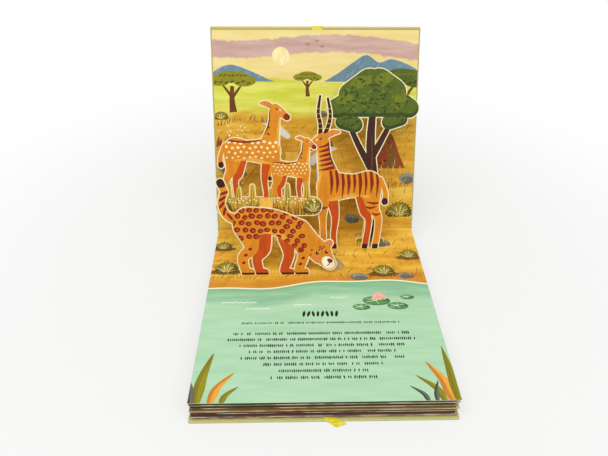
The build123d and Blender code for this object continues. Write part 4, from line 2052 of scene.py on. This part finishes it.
@dataclass
class Figures:
    """All card figures of the spread."""

    spread: Spread
    finish: Material
    buck: Antelope = Antelope(Stance(150.0, 30.0), Coat.STRIPES)
    buck_depth: float = 31.0
    tree: FlatTree = FlatTree(Stance(171.0, 54.0))
    tree_depth: float = 21.0
    doe: Antelope = Antelope(Stance(128.0, -60.0, 44.0, -1), Coat.SPOTS)
    fawn: Antelope = Antelope(Stance(86.0, -24.0, 44.0, -1), Coat.SPOTS)
    herd_depth: float = 33.0
    mound: Stance = Stance(42.0, -46.0, 44.0)
    mound_rise: float = 0.20
    mound_blade: float = 0.035
    mound_blades: Row = (
        (-0.92, 0.30), (-0.70, 0.20), (-0.38, 0.26), (0.05, 0.18), (0.42, 0.28), (0.86, 0.34),
    )
    mound_strokes: int = 64
    mound_tussocks: Row = ((-1.08, 0.24), (1.02, 0.26), (-0.16, 0.20))
    mound_flowers: Row = ((-0.62, 0.13), (0.18, 0.14), (0.72, 0.12))
    cat: SpottedCat = SpottedCat(Stance(104.0, -33.0))
    cat_depth: float = 66.0
    muzzle_shift: float = 9.0
    print_sunk: float = 0.02
    dab_film: float = 0.04
    petal_film: float = 0.05

    def build(self) -> None:
        """Makes the four cards in order from the gutter."""
        self._tree()
        self._stand("antelope", self.buck, self.buck_depth, self.buck_depth)
        self._herd()
        reach = self.cat_depth - self.herd_depth - CardFigure.card / self.spread.page_up.z
        self._stand("cat", self.cat, self.cat_depth, reach)

    def heads(self, clearance: float = 0.4) -> list[Loop]:
        """Windows that the heads were cut from, on the upper page.

        Args:
            clearance: Border round the heads in millimetres.

        Returns:
            The windows' outlines.
        """
        herd = ((self.buck, self.buck_depth), (self.doe, self.herd_depth), (self.fawn, self.herd_depth))
        loops = []
        for animal, depth in herd:
            loops += animal.stance.moved(0.0, -depth).chains(animal.head, clearance, 1)
        return loops

    def muzzle(self, clearance: float = 0.4) -> list[Loop]:
        """The hole that the cat's muzzle was cut from, on the lower page, with a border."""
        lowered = self.cat.stance.moved(self.muzzle_shift, -self.cat_depth)
        return lowered.chains(self.cat.head[1:2], clearance, 1)

    def _stand(self, name: str, shown: Drawing, depth: float, reach: float) -> CardFigure:
        """Makes one figure's card with its strut and its glued feet.

        Args:
            name: The figure's name.
            shown: Its drawing.
            depth: Its distance from the gutter in millimetres.
            reach: The strut's reach, back to the page or to the card behind.

        Returns:
            The card.
        """
        card = CardFigure(self.spread, name + "_card", name + "_popup", depth)
        at = shown.stance
        card.die_cut(at.chains(shown.outline(), card.border))
        shown.draw(card.art)
        card.strut(reach, *at.at(*shown.strut))
        for share in shown.feet:
            card.tab(at.place + share * at.size)
        card.build(self.finish)
        return card

    def _tree(self) -> None:
        """Makes the tree's card and its brush dabs."""
        card = self._stand("tree", self.tree, self.tree_depth, self.tree_depth)
        dab = stroke_loop(((-2.2, -0.9), (0.0, 0.3), (2.2, 0.7)), (0.4, 2.0, 0.3), 3)
        levels = {"low": card.card - self.print_sunk, "high": card.card + self.dab_film}
        for name, inks, seed, spacing in (
            ("crown_dabs_dark", (Ink.DEEP_LEAF, Ink.LEAF), 3, 3.6),
            ("crown_dabs_light", (Ink.LIGHT_LEAF, Ink.OLIVE), 8, 5.0),
        ):
            dabs = RepeatPrint(PrintWay.PATCHES, dab, spacing, inks, seed, turn=0.9, **levels)
            card.dot(name, dabs, self.tree.clumps(), self.finish)

    def _herd(self) -> None:
        """Makes the card of the doe and the fawn on their mound."""
        card = CardFigure(self.spread, "herd_card", "herd_popup", self.herd_depth)
        blade = self.mound_blade
        chains = [((-1, 0, self.mound_rise), (1, 0, self.mound_rise))]
        for across, height in self.mound_blades:
            chains.append(((across, 0, 2 * blade), (across, self.mound_rise + height, blade)))
        card.die_cut(self.mound.chains(chains, card.border), False)
        for animal in (self.doe, self.fawn):
            card.die_cut(animal.stance.chains(animal.outline(), card.border), False)
            card.strut(self.herd_depth, *animal.stance.at(*animal.strut))
        for animal in (self.doe, self.fawn):
            animal.draw(card.art)
        self._draw_mound(card.art, chains)
        card.build(self.finish)
        levels = {"low": card.card - self.print_sunk, "high": card.card + self.petal_film}
        petal, inks = oval_loop(0, 0, 0.85, 0.65), (Ink.PALE, Ink.BLANK)
        petals = RepeatPrint(PrintWay.PATCHES, petal, 1.9, inks, 12, share=0.85, **levels)
        patches = [self.mound.oval(*spot, 0.34, 0.05) for spot in self.mound_flowers]
        card.dot("mound_petals", petals, patches, self.finish)

    def _draw_mound(self, art: Artwork, chains: Sequence[Chain]) -> None:
        """Prints the grass and bushes of the mound in front of the animals' feet.

        Args:
            art: The card's print.
            chains: The mound's round joints.
        """
        at = self.mound
        art.add(at.chains(chains), Ink.GOLD, "mound")
        marks = [Dab(Ink.OCHRE, (1.30, 0.14), ((0.0, -0.16),))]
        for i in range(self.mound_strokes):
            x = -1.2 + 2.4 * i / (self.mound_strokes - 1)
            lean = 0.07 * sin(2.7 * i)
            line = ((x, -0.21), (x + lean * 0.4, -0.04), (x + lean, 0.09 + 0.09 * cos(1.9 * i)))
            ink = (Ink.OLIVE, Ink.EARTH, Ink.STRAW, Ink.HEDGE)[i % 4]
            marks.append(Brush(ink, (0.026, 0.020, 0.004), line))
        for across, height in self.mound_blades:
            line = ((across, 0.0), (across, 0.5 * height + 0.1), (across, self.mound_rise + height))
            marks.append(Brush(Ink.OLIVE, (0.08, 0.07, 0.03), line))
            marks.append(Brush(Ink.STRAW, (0.02, 0.02, 0.01), line))
        art.mark(at, marks, "mound")
        for across, reach in self.mound_tussocks:
            print_tussock(art, *at.at(across, -0.12), reach * at.size, reach * at.size * 1.1, "mound")


def print_tussock(art: Artwork, x: float, y: float, across: float, up: float, within: str = "") -> None:
    """Prints a dome of grass with a ragged rim and pale stalks that fan out from its root.

    Args:
        art: The print that it goes into.
        x: Place across of its root.
        y: Place up of its root.
        across: Half width.
        up: Height.
        within: The part outside which it doesn't show.
    """
    dome = f"tussock {x} {y}"
    tips = 13
    rim = []
    for i in range(2 * tips + 1):
        turn = pi * i / (2 * tips)
        swell = 1.0 if i % 2 else 0.88
        rim.append((x + across * swell * cos(turn), y + up * swell * sin(turn)))
    foot = [(x + across * share, y - up * 0.16) for share in (-0.7, 0.0, 0.7)]
    art.add([rim + foot], Ink.REED_DEEP, dome, within)
    lit = oval_loop(x - across * 0.1, y + up * 0.46, across * 0.7, up * 0.42)
    art.add([lit], Ink.REED_OLIVE, "", within or dome)
    for i in range(tips):
        turn = pi * (i + 0.5) / tips
        reach = 0.80 + 0.14 * sin(3.0 * i)
        bend = (x + across * 0.42 * cos(turn), y + up * 0.56 * sin(turn))
        tip = (x + across * reach * cos(turn), y + up * reach * sin(turn))
        root = (x + across * 0.16 * cos(turn), y - up * 0.06)
        ink = (Ink.STRAW, Ink.OLIVE, Ink.CREAM)[i % 3]
        art.add([stroke_loop((root, bend, tip), (0.25, 0.055 * up, 0.1), 4)], ink, "", within or dome)


@dataclass(frozen=True)
class GrassRows:
    """Grass blades along dark and light rows of a page."""

    blade: Trio
    pitch: float
    scale: Point
    turn: float
    share: float
    seed: int
    dark: tuple[Row, ...]
    light: tuple[Row, ...]


@dataclass
class PrintedPage:
    """A page of the spread and the films of print on it, which run one way from the gutter."""

    spread: Spread
    plane: PrintPlane
    nodes: dict[str, Object]
    finish: Material
    side: str
    body: str
    ground: str
    way: int
    stroke_depth: float
    stroke_seed: int
    grass: GrassRows
    film: float = 0.03
    sunk: float = 0.01
    fold_gap: float = 0.4
    art: Artwork = field(default_factory=Artwork)

    def dress(self) -> None:
        """Gives the page's solids their finish."""
        raise NotImplementedError

    def draw(self) -> None:
        """Prints the page's motifs."""
        raise NotImplementedError

    def details(self) -> None:
        """Prints the repeated shapes of this page alone."""
        raise NotImplementedError

    def build(self, holes: Sequence[Loop], surrounds: Sequence[Loop]) -> None:
        """Dresses the page and prints on it, clear of its holes.

        Args:
            holes: Outlines of the holes in the page.
            surrounds: The same outlines, grown by the reach of a stroke.
        """
        self.dress()
        self.art.add([self._strip(self.fold_gap, self.spread.depth, 0.0)], None, "sheet")
        self.art.add(holes, None, CUT_PART)
        self.draw()
        name = self.side + "_motifs"
        mesh = self.art.layout("sheet").solid(name, -self.sunk, self.film, None)
        mesh.transform(self.plane.matrix())
        self._lay(mesh_object(name, mesh, self.finish))
        self._strokes(surrounds)
        self._grass()
        self.details()

    def repeat(self, name: str, shape: RepeatPrint, guides: Sequence[Loop]) -> None:
        """Prints a repeated shape as a piece of its own."""
        self._lay(shape.build(name, guides, self.plane, self.finish))

    def _lay(self, made: Object) -> None:
        """Lets a film of print ride with the page."""
        add_piece(made, self.body, self.side + "_print")

    def _strip(self, near: float, far: float, margin: float) -> Loop:
        """The page between two distances from the gutter, less a margin at its sides."""
        half, (low, high) = self.spread.width / 2 - margin, sorted((self.way * near, self.way * far))
        return box_loop(-half, low, half, high)

    def _strokes(self, surrounds: Sequence[Loop]) -> None:
        """Prints long thin strokes of a dry brush over the ground.

        Args:
            surrounds: Outlines that they keep out of.
        """
        ground = Artwork()
        ground.add([self._strip(GUTTER_MARGIN, self.stroke_depth, STROKE_MARGIN)], Ink.GOLD, "ground")
        ground.add(surrounds, None, CUT_PART)
        flat = ground.layout("ground")
        patches = [[tuple(flat.points[i]) for i in triangle] for triangle in flat.triangles]
        line = stroke_loop(((-0.9, -4.2), (-0.2, -0.6), (1.4, 4.0)), (0.2, 0.62, 0.05), 3)
        for tone, inks, spacing, seed in (
            ("dark", (Ink.EARTH, Ink.HEDGE), 9.0, self.stroke_seed),
            ("light", (Ink.STRAW, Ink.AMBER), 8.0, self.stroke_seed + 1),
        ):
            strokes = RepeatPrint(PrintWay.PATCHES, line, spacing, inks, seed, (0.45, 1.2), 0.75, 0.9)
            self.repeat(f"{self.ground}_strokes_{tone}", strokes, patches)

    def _grass(self) -> None:
        """Prints grass blades on the ground."""
        grass = self.grass
        blade = blade_loop(0, 0, *grass.blade)
        style = {"scale": grass.scale, "turn": grass.turn, "share": grass.share}
        for tone, inks, seed, rows in (
            ("dark", (Ink.EARTH, Ink.HEDGE), grass.seed, grass.dark),
            ("light", (Ink.STRAW, Ink.OLIVE), grass.seed + 1, grass.light),
        ):
            blades = RepeatPrint(PrintWay.ROWS, blade, grass.pitch, inks, seed, **style)
            self.repeat(f"{self.ground}_blades_{tone}", blades, [smooth_line(row) for row in rows])


@dataclass
class UpperPage(PrintedPage):
    """Upper page of the spread with its background print, and the white leaf behind it."""

    side: str = "upper"
    body: str = UPPER_BODY
    ground: str = "meadow"
    way: int = 1
    stroke_depth: float = 104.0
    stroke_seed: int = 24
    grass: GrassRows = GrassRows(
        (7.0, 1.2, 0.75), 1.7, (0.45, 1.15), 0.5, 0.85, 21,
        (
            ((-98, 104), (-70, 110), (-44, 106)), ((62, 112), (98, 118)),
            ((-98, 40), (-74, 44)), ((64, 40), (98, 44)),
        ),
        (
            ((-99, 74), (-80, 77), (-64, 74)), ((62, 60), (98, 56)),
            ((-98, 10), (-60, 12)), ((66, 8), (98, 10)),
        ),
    )
    petal_seed: int = 23
    sun: Trio = (-34, 171, 8.5)
    hills: tuple[tuple[Ink, Ink, Row], ...] = (
        (
            Ink.HILL, Ink.HILL_LIGHT,
            ((-100, 148), (-100, 156), (-84, 163), (-66, 158), (-50, 151), (-40, 147)),
        ),
        (
            Ink.HILL, Ink.HILL_LIGHT,
            ((8, 147), (22, 155), (38, 166), (50, 172), (62, 165), (76, 168), (100, 158), (100, 147)),
        ),
        (
            Ink.HILL_SHADE, Ink.HILL,
            ((36, 148), (50, 158), (60, 160), (70, 156), (84, 160), (100, 150), (100, 146)),
        ),
        (Ink.HILL_SHADE, Ink.HILL, ((-100, 147), (-96, 152), (-86, 156), (-76, 151), (-66, 147))),
    )
    hill_strokes: int = 18
    birds: Row = ((-8, 181), (1, 184), (6, 179))
    trees: tuple[tuple[Stance, Ink], ...] = (
        (Stance(25.0, -82, 118), Ink.OLIVE), (Stance(15.0, -8, 133), Ink.OLIVE),
        (Stance(30.0, 86, 112), Ink.LEAF),
    )
    crown_dabs: int = 7
    ant_hill: Row = ((60, 62), (64, 76), (70, 92), (75, 97), (80, 90), (86, 74), (92, 62))
    ant_shade: Row = ((76, 96), (74, 84), (79, 74), (76, 62))
    ant_holes: Row = ((67, 80), (71, 70), (74, 88), (66, 67))
    stones: tuple[Patch, ...] = (
        (-88, 62, 10, 6), (-76, 58, 6, 4), (38, 10, 8, 5), (94, 52, 8, 6), (6, 116, 6, 3.4),
    )
    tussocks: tuple[Patch, ...] = (
        (-88, 18, 13, 13), (87, 14, 15, 14), (4, 20, 12, 11), (-94, 112, 8, 7), (10, 84, 8, 8),
    )
    hedge_start: Point = (-99, 84)
    hedge_pitch: float = 1.35
    hedge_blades: int = 30
    flowers: tuple[Patch, ...] = ((-82, 100, 15, 5), (80, 104, 15, 5), (-84, 50, 12, 4))

    def dress(self) -> None:
        """Gives the page and the leaf behind it their finish."""
        dress_node(self.nodes["upper_page"], UpperPrint(self.plane).material())
        dress_node(self.nodes["backing_leaf"], WhiteCard().material())

    def draw(self) -> None:
        """Prints the scenery from the far hills to the meadow."""
        self._hills()
        self._trees()
        self._ground()

    def details(self) -> None:
        """Prints petals on the meadow."""
        petal, inks = oval_loop(0, 0, 0.8, 0.6), (Ink.PALE, Ink.STRAW)
        petals = RepeatPrint(PrintWay.PATCHES, petal, 3.2, inks, self.petal_seed, share=0.7)
        self.repeat("meadow_petals", petals, [oval_loop(*patch) for patch in self.flowers])

    def _hills(self) -> None:
        """Prints the sun, the far hills and a few birds."""
        x, y, radius = self.sun
        self.art.add([oval_loop(x, y, radius, radius)], Ink.SUN)
        for ink, lit, points in self.hills:
            hill = f"hill {points[1]}"
            self.art.add([smooth_line(points, 5)], ink, hill)
            span = points[-1][0] - points[0][0]
            for i in range(self.hill_strokes):
                x = points[0][0] + span * (i + 0.5) / self.hill_strokes
                y = 149 + 14 * sin(2.4 * i) ** 2
                line = ((x - 2.0, y), (x, y + 2.6), (x + 3.2, y + 5.2))
                self.art.add([stroke_loop(line, (0.2, 1.5, 0.2), 3)], lit, "", hill)
        for x, y in self.birds:
            line = ((x - 2.6, y + 0.8), (x - 1.1, y + 1.5), (x, y), (x + 1.1, y + 1.5), (x + 2.6, y + 0.8))
            self.art.add([stroke_loop(line, (0.2, 0.7, 0.2))], Ink.EARTH)

    def _trees(self) -> None:
        """Prints small flat-topped trees on the far field."""
        for at, crown in self.trees:
            shade, lit = (Ink.LEAF, Ink.REED_DEEP) if crown is Ink.OLIVE else (Ink.DEEP_LEAF, Ink.LIGHT_LEAF)
            marks = [Brush(Ink.BARK, (0.30, 0.20, 0.14), ((0.02, 0.0), (-0.02, 0.5), (0.0, 1.0)))]
            for side in (-1, 1):
                line = ((0.0, 0.55), (side * 0.22, 0.85), (side * 0.42, 1.10))
                marks.append(Brush(Ink.BARK, (0.12, 0.09, 0.05), line))
            for shift, rise, across in ((-0.50, 1.22, 0.44), (0.48, 1.20, 0.46), (0.0, 1.36, 0.62)):
                marks.append(Dab(crown, (across, 0.22), ((shift, rise),)))
            for i in range(self.crown_dabs):
                spot = (-0.66 + 0.22 * i, 1.14 + 0.05 * sin(3 * i))
                marks.append(Dab(shade, (0.10, 0.045), (spot,), 0.3))
                tip = (-0.34 + 0.16 * i, 1.42 + 0.05 * sin(2 * i))
                line = ((-0.50 + 0.16 * i, 1.34), (-0.44 + 0.16 * i, 1.40), tip)
                marks.append(Brush(lit, (0.01, 0.06, 0.01), line))
            self.art.mark(at, marks)

    def _ground(self) -> None:
        """Prints an ant hill, stones, tussocks and a low hedge on the meadow."""
        self.art.add([smooth_line(self.ant_hill, 6)], Ink.HEDGE, "hill")
        self.art.add([stroke_loop(self.ant_shade, (1, 6, 9, 14))], Ink.EARTH, "", "hill")
        self.art.add([oval_loop(*hole, 1.3, 0.9, 0.3) for hole in self.ant_holes], Ink.UMBER, "", "hill")
        for x, y, across, up in self.stones:
            self.art.add([lobed_loop(x, y, across, up, 5, 0.12, x)], Ink.STONE, f"stone{x}")
            shade = oval_loop(x + across * 0.3, y - up * 0.45, across, up * 0.7, -0.2)
            self.art.add([shade], Ink.STONE_SHADE, "", f"stone{x}")
        for tussock in self.tussocks:
            print_tussock(self.art, *tussock)
        left, foot = self.hedge_start
        for i in range(self.hedge_blades):
            root = (left + self.hedge_pitch * i, foot + 1.2 * sin(i))
            blade = blade_loop(*root, 9 + 2.5 * sin(2.3 * i), 1.5 * cos(i), 1.5)
            self.art.add([blade], Ink.HEDGE)


@dataclass
class LowerPage(PrintedPage):
    """Lower page of the spread: bank, water plants and lines of plain ticks in place of text."""

    side: str = "lower"
    body: str = LOWER_BODY
    ground: str = "bank"
    way: int = -1
    stroke_depth: float = 70.0
    stroke_seed: int = 33
    grass: GrassRows = GrassRows(
        (6.5, 1.4, 0.7), 2.1, (0.4, 1.1), 0.6, 0.8, 31,
        (((-98, -70), (-60, -72)), ((24, -73), (98, -70)), ((-60, -20), (-12, -24)), ((8, -40), (40, -44))),
        (((-98, -48), (-74, -52)), ((44, -50), (98, -56)), ((-98, -14), (-62, -12)), ((50, -14), (98, -18))),
    )
    tufts: tuple[Patch, ...] = ((-86, 62, 17, 15), (62, 66, 15, 14), (90, 44, 14, 12), (-92, 30, 12, 11))
    tuft_blades: int = 11
    stones: tuple[Patch, ...] = ((38, 70, 9, 4.6), (82, 69, 8, 4), (-70, 42, 8, 4.4), (66, 24, 9, 5))
    pads: tuple[Trio, ...] = ((50, 99, 12), (68, 105, 9), (36, 106, 7.5), (78, 95, 6))
    pad_veins: tuple[float, ...] = (0.5, 1.5, 2.6, 3.6, 4.9)
    blossom: Point = (53, -98.5)
    petals: int = 7
    ripples: tuple[tuple[float, float, int], ...] = (
        (-84, 101, 6), (-62, 108, 4), (12, 96, 3), (-20, 104, 3),
    )
    ripple_pitch: float = 5.2
    reeds: tuple[tuple[float, float, float, float, Ink], ...] = (
        (-94, 44, 8, 9, Ink.REED_OLIVE), (-84, 26, 16, 7, Ink.REED_ORANGE), (-98, 24, -6, 6, Ink.REED_DARK),
        (-76, 14, 12, 5, Ink.REED_OLIVE), (94, 34, -14, 9, Ink.REED_ORANGE),
        (88, 22, -18, 6, Ink.REED_OLIVE), (98, 48, -2, 8, Ink.REED_OLIVE), (76, 13, -12, 4, Ink.REED_DARK),
        (82, 17, 4, 4, Ink.REED_DARK),
    )
    title: Point = (14, 113.6)
    subtitle: Point = (66, 123.0)
    first_line: float = 134.0
    line_pitch: float = 5.85
    line_halves: tuple[float, ...] = (72, 76, 66, 58, 64, 46, 34, 40)

    def dress(self) -> None:
        """Gives the page its finish."""
        dress_node(self.nodes["lower_page"], LowerPrint(self.plane).material())

    def draw(self) -> None:
        """Prints the scenery from the bank to the front corners."""
        self._bank()
        self._water()
        self._corners()

    def details(self) -> None:
        """Prints rows of plain ticks where the page has its lines of text."""
        body = [(half, self.first_line + self.line_pitch * i) for i, half in enumerate(self.line_halves)]
        for name, height, width, pitch, share, seed, scale, lines in (
            ("title_ticks", 6.4, 2.5, 3.9, 1.0, 41, (0.92, 1.05), [self.title]),
            ("subtitle_ticks", 2.2, 0.95, 1.55, 0.80, 42, (0.75, 1.1), [self.subtitle]),
            ("body_ticks", 2.9, 1.10, 1.62, 0.82, 43, (0.8, 1.1), body),
        ):
            tick = oval_loop(0, 0, width / 2, height / 2)
            ticks = RepeatPrint(PrintWay.ROWS, tick, pitch, (Ink.TEXT, Ink.TEXT), seed, scale, 0.3, share)
            self.repeat(name, ticks, [[(-half, -depth), (half, -depth)] for half, depth in lines])

    def _bank(self) -> None:
        """Prints tufts and stones on the bank."""
        for x, depth, height, spread in self.tufts:
            self.art.add([lobed_loop(x, -depth - 1, spread * 1.1, 3.0, 9, 0.2)], Ink.EARTH)
            reach = spread * 1.2
            for i in range(self.tuft_blades):
                side = 2 * i / (self.tuft_blades - 1) - 1
                rise = height * (1 - 0.45 * side * side) * (0.86 + 0.14 * cos(5 * i))
                blade = blade_loop(x + side * reach * 0.3, -depth, rise, side * reach * 0.8, 1.6)
                self.art.add([blade], Ink.REED_OLIVE)
            print_tussock(self.art, x, -depth, spread * 0.8, height * 0.8)
        for x, depth, across, up in self.stones:
            self.art.add([lobed_loop(x, -depth, across, up, 5, 0.10, x)], Ink.STONE, f"stone{x}")
            shade = oval_loop(x + 2, -depth - up * 0.5, across, up * 0.7, -0.1)
            self.art.add([shade], Ink.STONE_SHADE, "", f"stone{x}")

    def _water(self) -> None:
        """Prints lily pads with a blossom, and ripples."""
        for x, depth, across in self.pads:
            y = -depth
            pad = oval_loop(x, y, across, across * 0.42)
            self.art.add([[(px + 0.6, py - 0.7) for px, py in pad]], Ink.PAD_SHADE)
            self.art.add([pad], Ink.PAD, f"pad{x}")
            notch = [(x, y), (x + across * 1.2, y - across * 0.10), (x + across * 1.1, y + across * 0.3)]
            self.art.add([notch], Ink.PAD_SHADE, "", f"pad{x}")
            for turn in self.pad_veins:
                tip = (x + across * 0.85 * cos(turn), y + across * 0.36 * sin(turn))
                self.art.add([stroke_loop([(x, y), tip], (0.5, 0.25), 2)], Ink.FOAM, "", f"pad{x}")
        x, y = self.blossom
        for i in range(self.petals):
            turn = pi * (i / (self.petals - 1) * 0.9 + 0.05)
            tip = (x + 5.0 * cos(turn), y + 1.0 + 6.2 * sin(turn))
            self.art.add([stroke_loop([(x, y), tip], (1.0, 0.9), 2)], Ink.BLOSSOM)
            self.art.add([oval_loop(*tip, 1.5, 1.9, turn - pi / 2)], Ink.BLOSSOM)
        self.art.add([oval_loop(x, y + 1.9, 1.6, 1.4)], Ink.STRAW)
        for left, depth, count in self.ripples:
            low, high = -depth - 0.5, -depth + 0.9
            for i in range(count):
                x = left + self.ripple_pitch * i
                line = ((x - 2.7, low), (x - 1.4, high), (x + 1.4, high), (x + 2.7, low))
                self.art.add([stroke_loop(line, (0.3, 0.9, 0.3))], Ink.FOAM)

    def _corners(self) -> None:
        """Prints water plants in the two front corners."""
        foot = -self.spread.depth - 1.0
        lit = {Ink.REED_OLIVE: Ink.OLIVE, Ink.REED_ORANGE: Ink.HONEY, Ink.REED_DARK: Ink.STONE_SHADE}
        for x, height, lean, width, ink in self.reeds:
            line = ((x, foot), (x + lean * 0.25, foot + height * 0.5), (x + lean, foot + height))
            self.art.add([stroke_loop(line, (width * 0.6, width, width * 0.6, 0.3))], ink, f"reed{x}")
            side = [(px + width * 0.2, py) for px, py in line]
            light = stroke_loop(side, (width * 0.3, width * 0.55, width * 0.3, 0.1))
            self.art.add([light], lit[ink], "", f"reed{x}")


@dataclass
class Studio:
    """Pale floor, soft light and the camera at the photograph's angle."""

    spread: Spread
    lens: float = 27.76
    sensor: float = 36.0
    clip: Point = (0.01, 50.0)
    pitch: float = 40.156
    yaw: float = 1.473
    roll: float = 0.593
    stand: Trio = (-0.107, -1.867, 1.579)
    sky: float = 0.50
    lamps: tuple[tuple[str, Trio, float, float], ...] = (
        ("key_lamp", (-0.35, -0.30, 1.50), 1.3, 12.5), ("fill_lamp", (0.60, -0.45, 1.30), 1.0, 4.5),
    )
    floor_half: float = 4.0
    floor_tint: Tint = (232, 232, 230)
    fade: Point = (0.16, 0.55)
    fade_middle: Trio = (0.0, 0.05, 0.0)
    white: Colour = (1.0, 1.0, 1.0, 1.0)

    def build(self) -> None:
        """Sets up the view, the camera, the lights and the floor."""
        scene = bpy.context.scene
        scene.view_settings.view_transform = "Standard"
        self._camera(scene)
        self._lights(scene)
        self._floor()

    def _camera(self, scene: bpy.types.Scene) -> None:
        """Places the camera from its stand, measured in page widths from the middle of the gutter.

        Args:
            scene: The scene that it looks at.
        """
        pitch, yaw, roll = (radians(angle) for angle in (self.pitch, self.yaw, self.roll))
        ahead = Vector((sin(yaw) * cos(pitch), cos(yaw) * cos(pitch), -sin(pitch)))
        level = Vector((cos(yaw), -sin(yaw), 0))
        upright = level.cross(ahead)
        right = level * cos(roll) + upright * sin(roll)
        above = upright * cos(roll) - level * sin(roll)
        place = self.spread.gutter + Vector(self.stand) * (self.spread.width * MM)
        data = bpy.data.cameras.new("camera")
        data.lens, data.sensor_width, data.sensor_fit = self.lens, self.sensor, "HORIZONTAL"
        data.clip_start, data.clip_end = self.clip
        made = bpy.data.objects.new("camera", data)
        made.matrix_world = Matrix([*zip(right, above, -ahead, place), (0, 0, 0, 1)])
        scene.collection.objects.link(made)
        scene.camera = made

    def _lights(self, scene: bpy.types.Scene) -> None:
        """Adds a white surround and two broad lamps above the book.

        Args:
            scene: The scene that they light.
        """
        world = bpy.data.worlds.new("surround")
        scene.world = world
        world.use_nodes = True
        world.node_tree.nodes.clear()
        bench = NodeBench(world.node_tree)
        strength = self.sky + seen_ray(bench) * (1.0 - self.sky)
        shell = bench.take("ShaderNodeBackground", {}, {"Color": self.white, "Strength": strength})
        bench.node("ShaderNodeOutputWorld", {}, {"Surface": shell})
        for name, place, size, power in self.lamps:
            data = bpy.data.lights.new(name, "AREA")
            data.size, data.energy = size, power
            lamp = bpy.data.objects.new(name, data)
            lamp.location = place
            lamp.rotation_euler = (self.spread.gutter - Vector(place)).to_track_quat("-Z", "Y").to_euler()
            scene.collection.objects.link(lamp)

    def _floor(self) -> None:
        """Adds a large pale floor that fades to white, which isn't part of the book."""
        half = self.floor_half
        mesh = bpy.data.meshes.new("floor")
        mesh.from_pydata([(x, y, 0) for x, y in box_loop(-half, -half, half, half)], [], [(0, 1, 2, 3)])
        bench = FinishBench("floor")
        grain = bench.noise(bench.place, 20)
        away = bench.vectors("DISTANCE", bench.place, self.fade_middle, "Value")
        fade = away.step(*self.fade) * 0.5 + 0.5
        colour = bench.shade(self.floor_tint, 0.99 + grain * 0.02)
        pale = bench.take("ShaderNodeBsdfPrincipled", {}, {"Base Color": colour, "Roughness": 0.9})
        glow = bench.take("ShaderNodeEmission", {}, {"Color": self.white, "Strength": 1.0})
        both = bench.take("ShaderNodeMixShader", {}, {0: fade * seen_ray(bench), 1: pale, 2: glow})
        mesh_object("floor", mesh, bench.close(both))


def seen_ray(bench: NodeBench) -> Wire:
    """Whether a ray comes straight from the camera, a reflection or a see-through part.

    Args:
        bench: The bench of the floor or the surround.

    Returns:
        One for such a ray, or else zero.
    """
    path = bench.node("ShaderNodeLightPath", {}, {}).outputs
    kinds = ("Camera", "Glossy", "Transmission")
    camera, glossy, through = (Wire(bench, path[f"Is {kind} Ray"]) for kind in kinds)
    return camera.most(glossy).most(through)


def main() -> None:
    """Builds the book's looks in order and reports each piece."""
    logging.basicConfig(level=logging.INFO, format="%(name)s: %(message)s")
    spread = Spread.from_frame(frame)
    nodes = frame["nodes"]
    ink = PrintedInk().material()
    Studio(spread).build()
    HardCase(spread, nodes).build()
    LeafBlock(spread).build()
    figures = Figures(spread, ink)
    figures.build()
    upper, lower = spread.upper(), spread.lower()
    UpperPage(spread, upper, nodes, ink).build(figures.heads(), figures.heads(STROKE_MARGIN))
    LowerPage(spread, lower, nodes, ink).build(figures.muzzle(), figures.muzzle(STROKE_MARGIN))
    RibbonEnds(spread).build()


if __name__ == "__main__":
    main()
